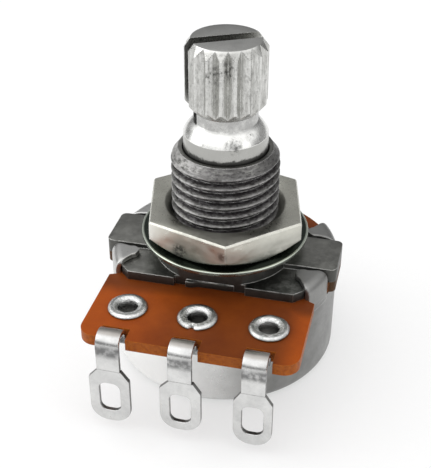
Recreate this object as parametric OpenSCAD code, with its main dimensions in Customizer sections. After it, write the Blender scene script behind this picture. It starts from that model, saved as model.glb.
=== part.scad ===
// Panel potentiometer with a split, serrated shaft and three solder lugs.
// Millimetres. Z runs up the shaft; z = 0 is the face of the boss that meets the panel,
// and the origin is on the shaft axis. The solder lugs stand towards -Y.

/* [Shaft] */
// Diameter of the plain journal that turns in the bushing
shaft_d = 6; // [5:0.1:6.4]
// Height of the shaft tip above the panel face
shaft_length = 15; // [14:0.5:30]
// Diameter over the crests of the serrations
knurl_d = 5.7; // [5.3:0.1:6]
// Number of serrations
knurl_count = 18; // [14:1:24]
// Depth of one serration
knurl_depth = 0.42; // [0.2:0.02:0.5]
// Share of one pitch that is left as the flat land of a crest
knurl_land = 0.16; // [0.05:0.01:0.4]
// Turn of the serrations, from +X
knurl_turn = 15.5; // [0:0.5:20]
// Length of the serrated head, with both chamfers
knurl_length = 5.1; // [3:0.1:5.8]
// Height of the chamfer round the tip
tip_chamfer_h = 0.6; // [0.2:0.1:1]
// Diameter of the flat end face
tip_face_d = 4.84; // [4.2:0.02:5.2]
// Height of the chamfer under the serrations
foot_chamfer_h = 0.7; // [0.2:0.1:1.2]
// Diameter of the neck between the serrations and the journal
neck_d = 4.5; // [3.6:0.1:4.9]
// Height of the straight part of the neck
neck_height = 0.75; // [0.3:0.05:0.95]
// Height of the flare from the neck out to the journal
flare_height = 0.95; // [0.5:0.05:1.15]
// Bulge of the flare beyond a straight cone
flare_bulge = 0.08; // [0:0.02:0.14]
// Width of the slot that splits the head
slot_w = 1; // [0.6:0.1:1.4]
// Depth of that slot below the tip
slot_depth = 5.9; // [2:0.1:6.5]
// Direction of the slot, from +X
slot_angle = 27.7; // [0:0.1:90]
// Diameter of the stem behind the journal
stem_d = 4.5; // [4:0.1:4.7]
// Width across the two flats that drive the rotor
stem_flats = 3.3; // [2.6:0.1:3.8]
// Length of the stem riveted over behind the rotor
rivet_h = 0.4; // [0.2:0.1:0.8]
// Radial gap between the shaft and its bores
running_gap = 0.05; // [0.02:0.01:0.09]
// End play of the shaft at its shoulder and at its clip
end_play = 0.05; // [0.02:0.01:0.1]

/* [Bushing] */
// Major diameter of the mounting thread
thread_d = 7.8; // [7.6:0.05:8.2]
// Height of the bushing above the panel face
bushing_length = 7; // [5.5:0.25:8]
// Chamfer on the bushing's top edge
bushing_chamfer = 0.4; // [0.1:0.05:0.6]
// Pitch of the mounting thread
thread_pitch = 0.75; // [0.6:0.05:1]
// Depth of the mounting thread
thread_depth = 0.4; // [0.2:0.02:0.5]
// Width of the flat root of a thread groove
thread_root = 0.16; // [0.08:0.02:0.24]
// Share of one pitch that is left as the flat land of a thread crest
thread_land = 0.12; // [0.05:0.01:0.3]
// Height above the panel face where the thread starts
thread_start = 0.3; // [0.1:0.05:1]
// Thickness of the ring that carries the shaft's shoulder
step_thickness = 0.9; // [0.4:0.1:1.5]

/* [Mounting plate] */
// Diameter of the round boss that meets the panel
boss_d = 10.4; // [9.6:0.1:10.8]
// Height of the boss above the ears
boss_height = 1.05; // [0.6:0.05:1.6]
// Distance that the ears stick out past the cover
ear_overhang = 0.2; // [0.1:0.05:0.5]
// Width of the bar that forms the ears
ear_width = 3.9; // [3:0.1:4.4]
// Radius of the ears' corners
ear_corner = 0.45; // [0.2:0.05:0.8]
// Step from the top of the ears down to the web
ear_step = 0.37; // [0.1:0.01:0.6]
// Thickness of the web
web_thickness = 0.71; // [0.5:0.01:1.2]
// Distance of the web's sides inside the cover's wall
web_side_inset = 1.35; // [1.25:0.05:1.6]
// Distance of the web's front edge inside the front of the boss
web_front_inset = 0.2; // [0.1:0.05:0.4]
// Bevel on the web's two front corners
web_corner = 0.65; // [0.5:0.05:1]
// Distance of the web's round rear edge inside the cover's wall
web_rear_inset = 1.15; // [0.9:0.05:1.35]
// Width of the set-back stretch in the middle of the front edge
gate_w = 5.2; // [4.5:0.1:7]
// Depth of that set-back
gate_depth = 0.3; // [0.1:0.05:0.5]
// Width of the casting gate's stub in the set-back
gate_stub_w = 3.5; // [1:0.1:4]
// Width of the peg at the left end of that stub
gate_peg_w = 0.45; // [0.2:0.05:0.45]
// Depth of the thin edge along the rest of the stub
gate_edge = 0.08; // [0.04:0.02:0.1]
// Distance of the stub's top below the web's top
gate_drop = 0.2; // [0:0.05:0.4]
// Radial gap round the clip in its pocket under the boss
pocket_gap = 0.4; // [0.2:0.05:0.6]
// Depth of that pocket
pocket_depth = 1.03; // [0.8:0.01:1.2]

/* [Nut and washer] */
// Wall of the nut from the thread to its flats
nut_wall = 1.5; // [1.2:0.05:1.9]
// Height of the nut
nut_height = 2.2; // [1.6:0.1:3]
// Height of the cone that bevels the nut's lower corners
nut_bevel_h = 0.8; // [0.3:0.1:1.2]
// Distance of the cone's lower edge inside the flats
nut_seat_inset = 0.15; // [0.05:0.05:0.4]
// Width of the countersink round the nut's hole
nut_sink = 0.45; // [0.2:0.05:0.7]
// Turn of the nut on its thread
nut_turn = 13; // [0:1:60]
// Width of the washer's rim outside the nut's flats
washer_margin = 0.75; // [0.4:0.05:1.5]
// Gap between the washer's hole and the thread
washer_gap = 0.2; // [0.1:0.05:0.4]
// Thickness of the washer
washer_t = 0.3; // [0.2:0.05:0.8]
// Gap between the nut's hole and the thread's crests
thread_gap = 0.02; // [0.01:0.01:0.05]

/* [Terminal board] */
// Thickness of the board
board_t = 0.85; // [0.6:0.05:1.2]
// Distance of the board's round edge inside the cover's wall
board_inset = 0.05; // [0:0.05:0.2]
// Distance from the outer eyelets to the sides of the board's tab
board_side = 2.55; // [2:0.05:3]
// Distance from the row of eyelets to the board's front edge
board_front = 3.425; // [3:0.025:4.5]
// Radius of the tab's two front corners
board_corner = 1.1; // [0.4:0.1:1.2]
// Gap between a terminal and each side of its notch
notch_side_gap = 0.225; // [0.2:0.025:0.4]
// Radial clearance of the board's hole round the stem
board_hole_gap = 0.5; // [0.2:0.1:0.8]

/* [Terminals and eyelets] */
// Distance between neighbouring terminals
pitch = 5; // [4.6:0.1:5]
// Distance of the row of eyelets inside the cover's outer radius
eyelet_inset = 0.175; // [0:0.025:0.35]
// Outside diameter of an eyelet's barrel
eyelet_barrel_d = 1.75; // [1.4:0.05:1.8]
// Wall of the eyelet
eyelet_wall = 0.2; // [0.15:0.05:0.3]
// Diameter of the rolled flange on top
eyelet_flange_d = 2.85; // [2.7:0.05:3.2]
// Height of the rolled flange
eyelet_flange_h = 0.32; // [0.2:0.02:0.34]
// Diameter of the flange behind the terminal
foot_d = 2.6; // [2.4:0.1:3]
// Height of the flange behind the terminal
foot_h = 0.25; // [0.15:0.05:0.3]
// Thickness of the terminal strip
strip_t = 0.35; // [0.25:0.05:0.45]
// Width of the terminal strip
strip_w = 1.65; // [1.3:0.05:1.8]
// Diameter of the strip's pad round the eyelet
pad_d = 3; // [2.6:0.1:3.2]
// Outside radius of the arch that lifts the strip over the board's edge
arch_r = 0.9; // [0.7:0.05:1]
// Height of the arch above the board's top face
arch_rise = 0.46; // [0.2:0.02:0.8]
// Inside radius of the elbow under the arch
elbow_r = 0.12; // [0.08:0.02:0.2]
// Gap between the board's front edge and the legs
leg_gap = 0.35; // [0.2:0.05:0.6]
// Sideways distance from an eyelet to its leg, towards -X
leg_set = 0.2; // [0:0.05:0.2]
// Width of a solder lug
lug_w = 3; // [2.6:0.1:3.4]
// Distance from the board's top face down to the lug's shoulder
shoulder_drop = 2.3; // [1.8:0.1:4]
// Height of the sloping shoulder
shoulder_h = 0.75; // [0.4:0.05:1]
// Length of the lug below the shoulder
lug_length = 3.8; // [3.5:0.1:4.2]
// Radius of the lug's lower corners
lug_corner = 1.25; // [0.6:0.05:1.3]
// Width of the solder hole
hole_w = 1.5; // [1.2:0.1:1.7]
// Height of the solder hole
hole_h = 2.45; // [1.6:0.05:2.6]
// Metal left below the solder hole
hole_rim = 0.95; // [0.6:0.05:1.2]
// Radius of the solder hole's corners
hole_corner = 0.55; // [0.2:0.05:0.6]

/* [Rear cover] */
// Outside diameter of the cover
cover_d = 16.9; // [16.8:0.05:17.2]
// Height of the cover under the board
cover_h = 6.82; // [5.6:0.02:9]
// Sheet thickness of the cover
cover_t = 0.4; // [0.3:0.05:0.5]
// Outside radius of the cover's rounded edge
cover_corner = 1; // [0.6:0.1:2]
// Clearance round the terminals' pads in the cover's cut-outs
window_gap = 0.5; // [0.3:0.05:0.6]
// Gap between an ear and the folded tab beside it
tab_gap = 0.18; // [0.1:0.02:0.3]
// Width of a tab where it leaves the wall
tab_w = 2.5; // [2:0.1:2.8]
// Radius of a tab's round end
tab_end_r = 0.6; // [0.4:0.05:0.65]
// Gap between a tab's tip and the boss
tab_boss_gap = 1.25; // [1:0.05:1.4]
// Inside radius of the fold
fold_r = 0.35; // [0.2:0.05:0.45]
// Width of the stop pressed into the wall, in degrees
stop_angle = 12; // [8:1:16]
// Distance that the stop reaches inwards
stop_reach = 0.9; // [0.6:0.1:1.1]

/* [Inside] */
// Thickness of the retaining clip
clip_t = 0.5; // [0.3:0.05:0.6]
// Outside diameter of the retaining clip
clip_d = 7.2; // [6:0.1:7.4]
// Depth of the clip's groove in the stem
groove_depth = 0.4; // [0.2:0.05:0.6]
// Opening of the clip, in degrees
clip_opening = 80; // [50:5:120]
// Space between the board and the rotor's disc
contact_space = 1.5; // [1.2:0.1:1.8]
// Thickness of the rotor's disc
rotor_t = 1.2; // [1:0.1:1.6]
// Radial gap between the rotor's disc and the cover's wall
rotor_gap = 1.4; // [1.2:0.05:1.5]
// Diameter of the rotor's hub
hub_d = 5.8; // [5.4:0.1:6]
// Gap between the rotor's hub and the board
hub_gap = 0.2; // [0.1:0.05:0.4]
// Gap between the rotor's nub and the cover's wall
nub_gap = 0.35; // [0.2:0.05:0.4]
// Turning range between the stops, in degrees
travel = 300; // [260:5:310]
// Free angle left between the nub and the stop at each end
stop_play = 1; // [0.5:0.5:3]
// Thickness of the printed and plated conductors
film_t = 0.08; // [0.05:0.01:0.15]
// Distance of the carbon track inside the cover's wall
track_inset = 1.35; // [1.2:0.05:1.5]
// Width of the carbon track
track_w = 1; // [0.8:0.1:1.2]
// Open angle of the carbon track, towards the terminals
track_gap_angle = 56; // [50:1:62]
// Angle covered by each silvered end of the track
end_angle = 11; // [8:1:12]
// Width of the leads from the conductors to the terminals
lead_w = 1; // [0.8:0.1:1.2]
// Distance from the rotor's hub to the collector ring
collector_gap = 0.4; // [0.2:0.05:0.6]
// Width of the collector ring
collector_w = 0.8; // [0.6:0.1:1.1]
// Thickness of the wiper's spring sheet
wiper_t = 0.15; // [0.1:0.05:0.2]
// Width of a wiper finger
finger_w = 0.8; // [0.6:0.1:0.9]
// Length over which a wiper finger rises
finger_run = 1.3; // [1:0.1:1.5]
// Length of a finger's flat tip
finger_tip = 0.4; // [0.2:0.1:0.5]
// Gap between the wiper and the conductors
wiper_gap = 0.05; // [0.03:0.01:0.1]

/* [Hidden] */

$fn = 96;
// Extra length that lets a cut pass clean through
cut = 1;
// Clearance between pieces that are pressed together
press_gap = 0.01;
// Angle between the corners that bound a ring sector, and between the points of the flare
sector_step = 30;

// Levels of the stack, from the tip of the shaft down to the back of the cover
tip_z = shaft_length;
knurl_foot_z = tip_z - knurl_length;
neck_foot_z = knurl_foot_z - neck_height;
journal_top_z = neck_foot_z - flare_height;
ear_z = -boss_height;
web_z = ear_z - ear_step;
plate_z = web_z - web_thickness;
board_z = plate_z - board_t;
back_z = board_z - cover_h;
pocket_z = plate_z + pocket_depth;
shoulder_z = pocket_z + step_thickness;
clip_z = pocket_z - end_play - clip_t;
strip_z = board_z - strip_t;
film_z = board_z - film_t;
hub_top_z = board_z - hub_gap;
rotor_top_z = board_z - contact_space;
rotor_z = rotor_top_z - rotor_t;
stem_end_z = rotor_z - rivet_h;

// Radii across the stack
journal_r = shaft_d / 2;
thread_r = thread_d / 2;
stem_r = stem_d / 2;
stem_bore_r = stem_r + running_gap;
cover_r = cover_d / 2;
cover_in = cover_r - cover_t;
board_r = cover_r - board_inset;
boss_r = boss_d / 2;
pocket_r = clip_d / 2 + pocket_gap;
nut_af = thread_d + 2 * nut_wall;
washer_r = nut_af / 2 + washer_margin;
hub_r = hub_d / 2;
rotor_r = cover_in - rotor_gap;
nub_r = cover_in - nub_gap;
eyelet_r = eyelet_barrel_d / 2;

// Outlines tied to the cover's wall and to the row of eyelets
eyelet_row = cover_r - eyelet_inset;
ear_span = cover_d + 2 * ear_overhang;
web_half = cover_in - web_side_inset;
web_rear_r = cover_in - web_rear_inset;
web_reach = boss_r - web_front_inset;
flat_y = gate_depth - web_reach;
board_tab_w = 2 * (pitch + board_side);
board_reach = eyelet_row + board_front;
tab_tip = boss_r + tab_boss_gap;

// The folded tabs stand beside the ears
tab_angle = asin((ear_width / 2 + tab_gap) / norm([cover_in, tab_w / 2])) + atan(tab_w / 2 / cover_in);
tab_angles = [tab_angle, 180 - tab_angle, 180 + tab_angle, -tab_angle];
fold_x = cover_in - fold_r;

// The bends of the terminals, seen from the side
leg_y = -(board_reach + leg_gap + strip_t);
arch_y = leg_y + arch_r;
arch_z = plate_z + arch_rise - arch_r;
elbow_y = arch_y + arch_r + elbow_r;
elbow_z = board_z + elbow_r;
notch_depth = board_reach + elbow_y + running_gap;
shoulder_top_z = plate_z - shoulder_drop;
lug_top_z = shoulder_top_z - shoulder_h;
lug_z = lug_top_z - lug_length;

// The openings in the cover's rim that clear the terminals and the leads to them
window_h = strip_t + foot_h + window_gap;
window_r = max(pad_d / 2 + window_gap, norm([pitch, eyelet_row]) - cover_in + lead_w / 2);

// Turning range and stops
nub_angle = 360 - travel - stop_angle - 2 * stop_play;
dimple_angle = stop_angle / 2;
track_from = -90 + track_gap_angle / 2;
track_to = 270 - track_gap_angle / 2;
track_out = cover_in - track_inset;
track_in = track_out - track_w;
track_mid = track_out - track_w / 2;
collector_in = hub_r + collector_gap;
collector_out = collector_in + collector_w;
collector_mid = collector_in + collector_w / 2;

// Flat shape of a rectangle with round corners, centred
module rounded_rect(w, h, r) {
    square([w - 2 * r, h], center = true);
    square([w, h - 2 * r], center = true);
    for (x = [-1, 1], y = [-1, 1])
        translate([x * (w / 2 - r), y * (h / 2 - r)]) circle(r);
}

// Half section of the bushing, with one ring groove for each turn of the thread
module bushing_section() {
    top = bushing_length - bushing_chamfer;
    turns = floor((top - thread_start) / thread_pitch);
    flank = thread_pitch * (1 - thread_land) / 2;
    root = thread_root / 2;
    grooves = [for (i = [0:turns - 1], p = [[0, -flank], [-thread_depth, -root],
                                            [-thread_depth, root], [0, flank]])
        [thread_r + p[0], thread_start + (i + 0.5) * thread_pitch + p[1]]];
    polygon(concat([[0, plate_z], [thread_r, plate_z]], grooves,
        [[thread_r, top], [thread_r - bushing_chamfer, bushing_length], [0, bushing_length]]));
}

// Flat shape of a ring between two angles
module ring_sector(inner, outer, from, to) {
    steps = max(2, ceil((to - from) / sector_step));
    reach = outer / cos((to - from) / steps / 2) + cut;
    intersection() {
        difference() {
            circle(outer);
            circle(inner);
        }
        polygon(concat([[0, 0]], [for (i = [0:steps])
            let (a = from + (to - from) * i / steps) [reach * cos(a), reach * sin(a)]]));
    }
}

// Solid between two levels, drawn from a flat shape
module slab(low, high) {
    translate([0, 0, low]) linear_extrude(high - low) children();
}

// Straight round pin or hole between two levels
module round_cut(r, low, high) {
    translate([0, 0, low]) cylinder(r = r, h = high - low);
}

// Outline of the ears shared by the plate and the board
module ear_outline() {
    rounded_rect(ear_span, ear_width, ear_corner);
}

// Section of the serrated head: V grooves with a narrow land on each crest
module knurl_section() {
    step = 360 / knurl_count;
    half_land = step * knurl_land / 2;
    crest = knurl_d / 2;
    root = crest - knurl_depth;
    polygon([for (i = [0:knurl_count - 1], p = [[-half_land, crest], [half_land, crest], [step / 2, root]])
        let (a = knurl_turn + i * step + p[0]) [p[1] * cos(a), p[1] * sin(a)]]);
}

// Head of the shaft: serrations, chamfered at the tip and at the foot
module knurled_head() {
    crest = knurl_d / 2;
    tip_r = tip_face_d / 2;
    neck_r = neck_d / 2;
    intersection() {
        slab(knurl_foot_z, tip_z) knurl_section();
        rotate_extrude() polygon([
            [0, knurl_foot_z - cut], [neck_r, knurl_foot_z - cut], [neck_r, knurl_foot_z],
            [2 * crest - neck_r, knurl_foot_z + 2 * foot_chamfer_h],
            [2 * crest - tip_r, tip_z - 2 * tip_chamfer_h],
            [tip_r, tip_z], [0, tip_z + cut]]);
    }
}

// Neck and rounded flare down to the journal, then the journal and the stem
module turned_shaft() {
    neck_r = neck_d / 2;
    flare_w = journal_r - neck_r;
    flare = [for (a = [0:sector_step:180]) let (t = a / 180)
        [neck_r + flare_w * t + flare_bulge * sin(a), neck_foot_z - flare_height * t]];
    rotate_extrude() polygon(concat(
        [[0, knurl_foot_z + cut / 2], [neck_r, knurl_foot_z + cut / 2]], flare,
        [[journal_r, shoulder_z + end_play], [stem_r, shoulder_z + end_play],
         [stem_r, stem_end_z], [0, stem_end_z]]));
}

module shaft() color("silver") difference() {
    union() {
        knurled_head();
        turned_shaft();
    }
    rotate(slot_angle) translate([-shaft_d, -slot_w / 2, tip_z - slot_depth])
        cube([2 * shaft_d, slot_w, slot_depth + cut]);
    translate([0, 0, clip_z]) difference() {
        cylinder(r = journal_r, h = clip_t);
        cylinder(r = stem_r - groove_depth, h = clip_t);
    }
    for (side = [0, 180]) rotate(side) translate([stem_flats / 2, -shaft_d, stem_end_z - cut])
        cube([shaft_d, 2 * shaft_d, hub_top_z - stem_end_z + cut]);
}

// Straight front edge with bevelled corners, and a round rear edge
module web_outline() {
    w = web_half;
    polygon([[-w, 0], [-w, web_corner - web_reach], [web_corner - w, -web_reach],
             [w - web_corner, -web_reach], [w, web_corner - web_reach], [w, 0]]);
    intersection() {
        circle(web_rear_r);
        translate([-cover_d, -cut]) square([2 * cover_d, cover_d]);
    }
}

// Broken-off casting gate: highest at its left end
module gate_stub() {
    translate([-gate_stub_w / 2, flat_y]) polygon([
        [0, gate_depth], [0, -gate_depth], [gate_peg_w, -gate_depth],
        [2 * gate_peg_w, -gate_edge], [gate_stub_w, -gate_edge], [gate_stub_w, gate_depth]]);
}

// Die casting: ears, web, boss and threaded bushing in one piece
module mounting_plate() color("dimgray") {
    difference() {
        union() {
            difference() {
                union() {
                    slab(plate_z, web_z) web_outline();
                    round_cut(boss_r, plate_z, 0);
                }
                translate([-gate_w / 2, flat_y - boss_d, plate_z - cut])
                    cube([gate_w, boss_d, 2 * cut - plate_z]);
            }
            slab(plate_z, ear_z) ear_outline();
            rotate_extrude() bushing_section();
        }
        round_cut(journal_r + running_gap, shoulder_z, bushing_length + cut);
        round_cut(stem_bore_r, plate_z - cut, shoulder_z + cut);
        round_cut(pocket_r, plate_z - cut, pocket_z);
    }
    slab(plate_z, web_z - gate_drop) gate_stub();
}

module hex_nut() color("gainsboro") difference() {
    corner = nut_af / sqrt(3);
    seat_r = nut_af / 2 - nut_seat_inset;
    hole_r = thread_r + thread_gap;
    intersection() {
        rotate(nut_turn - 90) translate([0, 0, washer_t]) cylinder(r = corner, h = nut_height, $fn = 6);
        translate([0, 0, washer_t]) rotate_extrude() polygon([
            [0, 0], [seat_r, 0], [corner, nut_bevel_h], [corner, nut_height], [0, nut_height]]);
    }
    round_cut(hole_r, washer_t - cut, washer_t + nut_height + cut);
    translate([0, 0, washer_t + nut_height - nut_sink])
        cylinder(r1 = hole_r, r2 = hole_r + nut_sink, h = nut_sink);
}

module flat_washer() color("lightgray") difference() {
    round_cut(washer_r, 0, washer_t);
    round_cut(thread_r + washer_gap, -cut, washer_t + cut);
}

// Open spring ring that keeps the shaft in the bushing
module retaining_clip() color("slategray") slab(clip_z, clip_z + clip_t)
    ring_sector(stem_r - groove_depth, clip_d / 2, clip_opening / 2, 360 - clip_opening / 2);

// Half section of a cup that stands on z = 0
module cup_section(r, corner, h) {
    square([r - corner, h]);
    translate([0, corner]) square([r, h - corner]);
    translate([r - corner, corner]) circle(corner);
}

// Half section of the cover: cup, wall carried up past the board, fold and tab
module cover_section() {
    wall_h = web_z - fold_r - back_z;
    translate([0, back_z]) difference() {
        cup_section(cover_r, cover_corner, wall_h);
        translate([0, cover_t]) cup_section(cover_in, cover_corner - cover_t, wall_h);
    }
    translate([fold_x, web_z - fold_r]) intersection() {
        difference() {
            circle(fold_r + cover_t);
            circle(fold_r);
        }
        square(fold_r + cover_t);
    }
    translate([tab_tip, web_z]) square([fold_x - tab_tip, cover_t]);
}

// Plan of a tab: full width at the wall, tapering to a round tip
module tab_plan() {
    round_x = tab_tip + tab_end_r;
    translate([round_x, 0]) circle(tab_end_r);
    polygon([[round_x, -tab_end_r], [cover_in, -tab_w / 2], [cover_r + cut, -tab_w / 2],
             [cover_r + cut, tab_w / 2], [cover_in, tab_w / 2], [round_x, tab_end_r]]);
}

// Drawn steel cup with four folded tabs and a stop pressed into its wall
module rear_cover() color("lightsteelblue") difference() {
    stop_in = cover_in - stop_reach;
    union() {
        rotate_extrude() cover_section();
        slab(rotor_z, rotor_top_z)
            ring_sector(stop_in, cover_in + cover_t / 2, -90 - stop_angle / 2, -90 + stop_angle / 2);
    }
    slab(board_z, cut) difference() {
        circle(cover_r + cut);
        for (a = tab_angles) rotate(a) tab_plan();
    }
    slab(rotor_z + cover_t, rotor_top_z - cover_t)
        ring_sector(stop_in + cover_t, cover_r + cut, -90 - dimple_angle / 2, -90 + dimple_angle / 2);
    for (x = [-pitch, 0, pitch]) translate([x, -eyelet_row, 0])
        round_cut(window_r, board_z - window_h, board_z + cut);
}

module terminal_board() color("peru") difference() {
    slab(board_z, plate_z) difference() {
        union() {
            circle(board_r);
            ear_outline();
            translate([0, -board_reach / 2])
                square([board_tab_w - 2 * board_corner, board_reach], center = true);
            translate([0, (board_corner - board_reach) / 2])
                square([board_tab_w, board_reach - board_corner], center = true);
            for (x = [-1, 1]) translate([x * (board_tab_w / 2 - board_corner), board_corner - board_reach])
                circle(board_corner);
        }
        for (x = [-pitch, 0, pitch])
            translate([x - strip_w / 2 - notch_side_gap, -board_reach - cut])
                square([strip_w + 2 * notch_side_gap, notch_depth + cut]);
        for (a = tab_angles) rotate(a) translate([cover_in - press_gap, -tab_w / 2 - press_gap])
            square([cover_t + cut, tab_w + 2 * press_gap]);
    }
    round_cut(stem_r + board_hole_gap, board_z - cut, plate_z + cut);
    for (x = [-pitch, 0, pitch]) translate([x, -eyelet_row, 0])
        round_cut(eyelet_r + press_gap, board_z - cut, plate_z + cut);
}

// Half section of a flange rolled outwards from the barrel
module rolled_lip(outer, h) {
    inner = eyelet_r - eyelet_wall;
    intersection() {
        union() {
            for (x = [inner + h, outer - h]) translate([x, 0]) circle(h);
            translate([inner + h, -h]) square([outer - inner - 2 * h, 2 * h]);
        }
        square([outer, h]);
    }
}

module eyelet(x) color("gainsboro") translate([x, -eyelet_row, 0]) rotate_extrude() {
    translate([eyelet_r - eyelet_wall, strip_z - foot_h / 2])
        square([eyelet_wall, plate_z - strip_z + foot_h]);
    translate([0, plate_z]) rolled_lip(eyelet_flange_d / 2, eyelet_flange_h);
    translate([0, strip_z]) mirror([0, 1]) rolled_lip(foot_d / 2, foot_h);
}

module eyelet_left() eyelet(-pitch);
module eyelet_centre() eyelet(0);
module eyelet_right() eyelet(pitch);

// Quarter or half turn of the strip round a bend, as seen from the side
module bend(inner, from, to) {
    ring_sector(inner, inner + strip_t, from, to);
}

// Side view of the strip: under the board, up through the notch, over and down
module strip_profile() {
    translate([elbow_y, strip_z]) square([-eyelet_row - elbow_y, strip_t]);
    translate([elbow_y, elbow_z]) bend(elbow_r, 180, 270);
    translate([arch_y + arch_r - strip_t, elbow_z]) square([strip_t, arch_z - elbow_z]);
    translate([arch_y, arch_z]) bend(arch_r - strip_t, 0, 180);
    translate([leg_y, shoulder_top_z]) square([strip_t, arch_z - shoulder_top_z]);
}

// Front view of the lug with its oblong solder hole, hung from z = 0
module lug_outline() {
    side = lug_w / 2;
    drop = shoulder_h + lug_length;
    difference() {
        union() {
            polygon([[-strip_w / 2, 0], [-side, -shoulder_h], [side, -shoulder_h], [strip_w / 2, 0]]);
            translate([0, -(shoulder_h + drop - lug_corner) / 2])
                square([lug_w, lug_length - lug_corner], center = true);
            translate([0, lug_corner - drop]) {
                square([lug_w - 2 * lug_corner, 2 * lug_corner], center = true);
                for (x = [-1, 1]) translate([x * (side - lug_corner), 0]) circle(lug_corner);
            }
        }
        translate([0, hole_rim + hole_h / 2 - drop]) rounded_rect(hole_w, hole_h, hole_corner);
    }
}

// Stamped strip: pad round the eyelet, arch over the board's edge, leg and lug
module terminal(x) color("lightgray") difference() {
    union() {
        slab(strip_z, board_z) translate([x, -eyelet_row]) circle(pad_d / 2);
        translate([x - leg_set - strip_w / 2, 0, 0]) rotate([90, 0, 90])
            linear_extrude(strip_w) strip_profile();
        translate([x - leg_set, leg_y + strip_t, shoulder_top_z]) rotate([90, 0, 0])
            linear_extrude(strip_t) lug_outline();
    }
    translate([x, -eyelet_row, 0]) round_cut(eyelet_r + press_gap, strip_z - cut, board_z + cut);
}

module terminal_left() terminal(-pitch);
module terminal_centre() terminal(0);
module terminal_right() terminal(pitch);

// Horseshoe of printed carbon on the board's rear face
module resistive_track() color("black") slab(film_z, board_z)
    ring_sector(track_in, track_out, track_from, track_to);

// Silvered end of the track and its lead to the terminal's pad; side is -1 or 1
module end_contact(side) color("silver") slab(film_z, board_z) {
    near = track_from - end_angle / 2;
    start = [track_mid * cos(near), track_mid * sin(near)];
    goal = [pitch, -eyelet_row];
    flip = side > 0 ? 0 : 1;
    mirror([flip, 0]) difference() {
        union() {
            ring_sector(track_in, track_out, track_from - end_angle, track_from);
            translate(start) rotate(atan2(goal[1] - start[1], goal[0] - start[0]))
                translate([0, -lead_w / 2]) square([norm(goal - start), lead_w]);
        }
        translate(goal) circle(pad_d / 2);
        ring_sector(track_in - cut, track_out, track_from, track_from + 90);
    }
}

module end_contact_left() end_contact(-1);
module end_contact_right() end_contact(1);

// Collector ring and its lead to the middle terminal's pad
module collector_ring() color("silver") slab(film_z, board_z) difference() {
    union() {
        circle(collector_out);
        translate([-lead_w / 2, -eyelet_row]) square([lead_w, eyelet_row - collector_mid]);
    }
    circle(collector_in);
    translate([0, -eyelet_row]) circle(pad_d / 2);
}

// Moulded carrier on the stem's flats, with the nub that meets the stop
module rotor() color("ivory") difference() {
    union() {
        slab(rotor_z, rotor_top_z) {
            circle(rotor_r);
            ring_sector(collector_out, nub_r, 90 - nub_angle / 2, 90 + nub_angle / 2);
        }
        round_cut(hub_r, rotor_z, hub_top_z);
    }
    slab(rotor_z - cut, hub_top_z + cut) intersection() {
        circle(stem_r + press_gap);
        square([stem_flats + 2 * press_gap, shaft_d], center = true);
    }
}

// Spring finger that leaves the sheet at x = 0 and rises to the conductors
module finger(y) {
    rise = film_z - wiper_gap - wiper_t - rotor_top_z;
    translate([0, y + finger_w / 2, rotor_top_z]) rotate([90, 0, 0]) linear_extrude(finger_w) polygon([
        [-finger_w / 2, 0], [0, 0], [finger_run, rise], [finger_run + finger_tip, rise],
        [finger_run + finger_tip, rise + wiper_t], [finger_run, rise + wiper_t],
        [0, wiper_t], [-finger_w / 2, wiper_t]]);
}

// Bronze sheet on the rotor with one finger on the track and one on the collector
module wiper_contact() color("goldenrod") {
    hole_r = hub_r + press_gap;
    slab(rotor_top_z, rotor_top_z + wiper_t) difference() {
        union() {
            circle(hole_r + finger_w);
            translate([-finger_w, 0]) square([finger_w, track_mid + finger_w / 2]);
        }
        circle(hole_r);
    }
    finger(track_mid);
    finger(collector_mid);
}

shaft();
mounting_plate();
hex_nut();
flat_washer();
retaining_clip();
rear_cover();
terminal_board();
eyelet_left();
eyelet_centre();
eyelet_right();
terminal_left();
terminal_centre();
terminal_right();
resistive_track();
end_contact_left();
end_contact_right();
collector_ring();
rotor();
wiper_contact();
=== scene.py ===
"""Rotary potentiometer: detailed pieces, finishes, light and camera, in the part's own frame."""

import math

import bpy
from mathutils import Matrix, Vector, noise


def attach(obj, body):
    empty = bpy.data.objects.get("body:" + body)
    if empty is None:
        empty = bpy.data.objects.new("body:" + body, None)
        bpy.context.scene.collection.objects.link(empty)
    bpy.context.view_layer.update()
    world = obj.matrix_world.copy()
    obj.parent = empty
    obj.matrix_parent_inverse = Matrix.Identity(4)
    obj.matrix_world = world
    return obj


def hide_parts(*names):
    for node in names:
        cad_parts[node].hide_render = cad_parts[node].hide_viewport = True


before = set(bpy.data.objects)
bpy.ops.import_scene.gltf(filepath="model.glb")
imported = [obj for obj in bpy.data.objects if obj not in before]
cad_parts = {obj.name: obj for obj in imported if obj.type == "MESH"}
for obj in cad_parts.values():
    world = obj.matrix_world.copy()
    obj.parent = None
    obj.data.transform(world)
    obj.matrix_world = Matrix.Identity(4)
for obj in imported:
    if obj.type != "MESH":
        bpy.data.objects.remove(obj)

MM = 0.001
TURN = 2 * math.pi


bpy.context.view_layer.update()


# Mesh helpers
def link(mesh, name):
    obj = bpy.data.objects.new(name, mesh)
    bpy.context.scene.collection.objects.link(obj)
    return obj


def shade(mesh, sharp_deg):
    """Smooth shading, with the edges steeper than sharp_deg kept crisp."""
    mesh.polygons.foreach_set("use_smooth", [True] * len(mesh.polygons))
    mesh.set_sharp_from_angle(angle=math.radians(sharp_deg))


def mesh_object(name, points, faces, sharp_deg=35):
    """Object from points in millimetres."""
    mesh = bpy.data.meshes.new(name)
    mesh.from_pydata([(x * MM, y * MM, z * MM) for x, y, z in points], [], faces)
    mesh.validate()
    shade(mesh, sharp_deg)
    return link(mesh, name)


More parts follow.
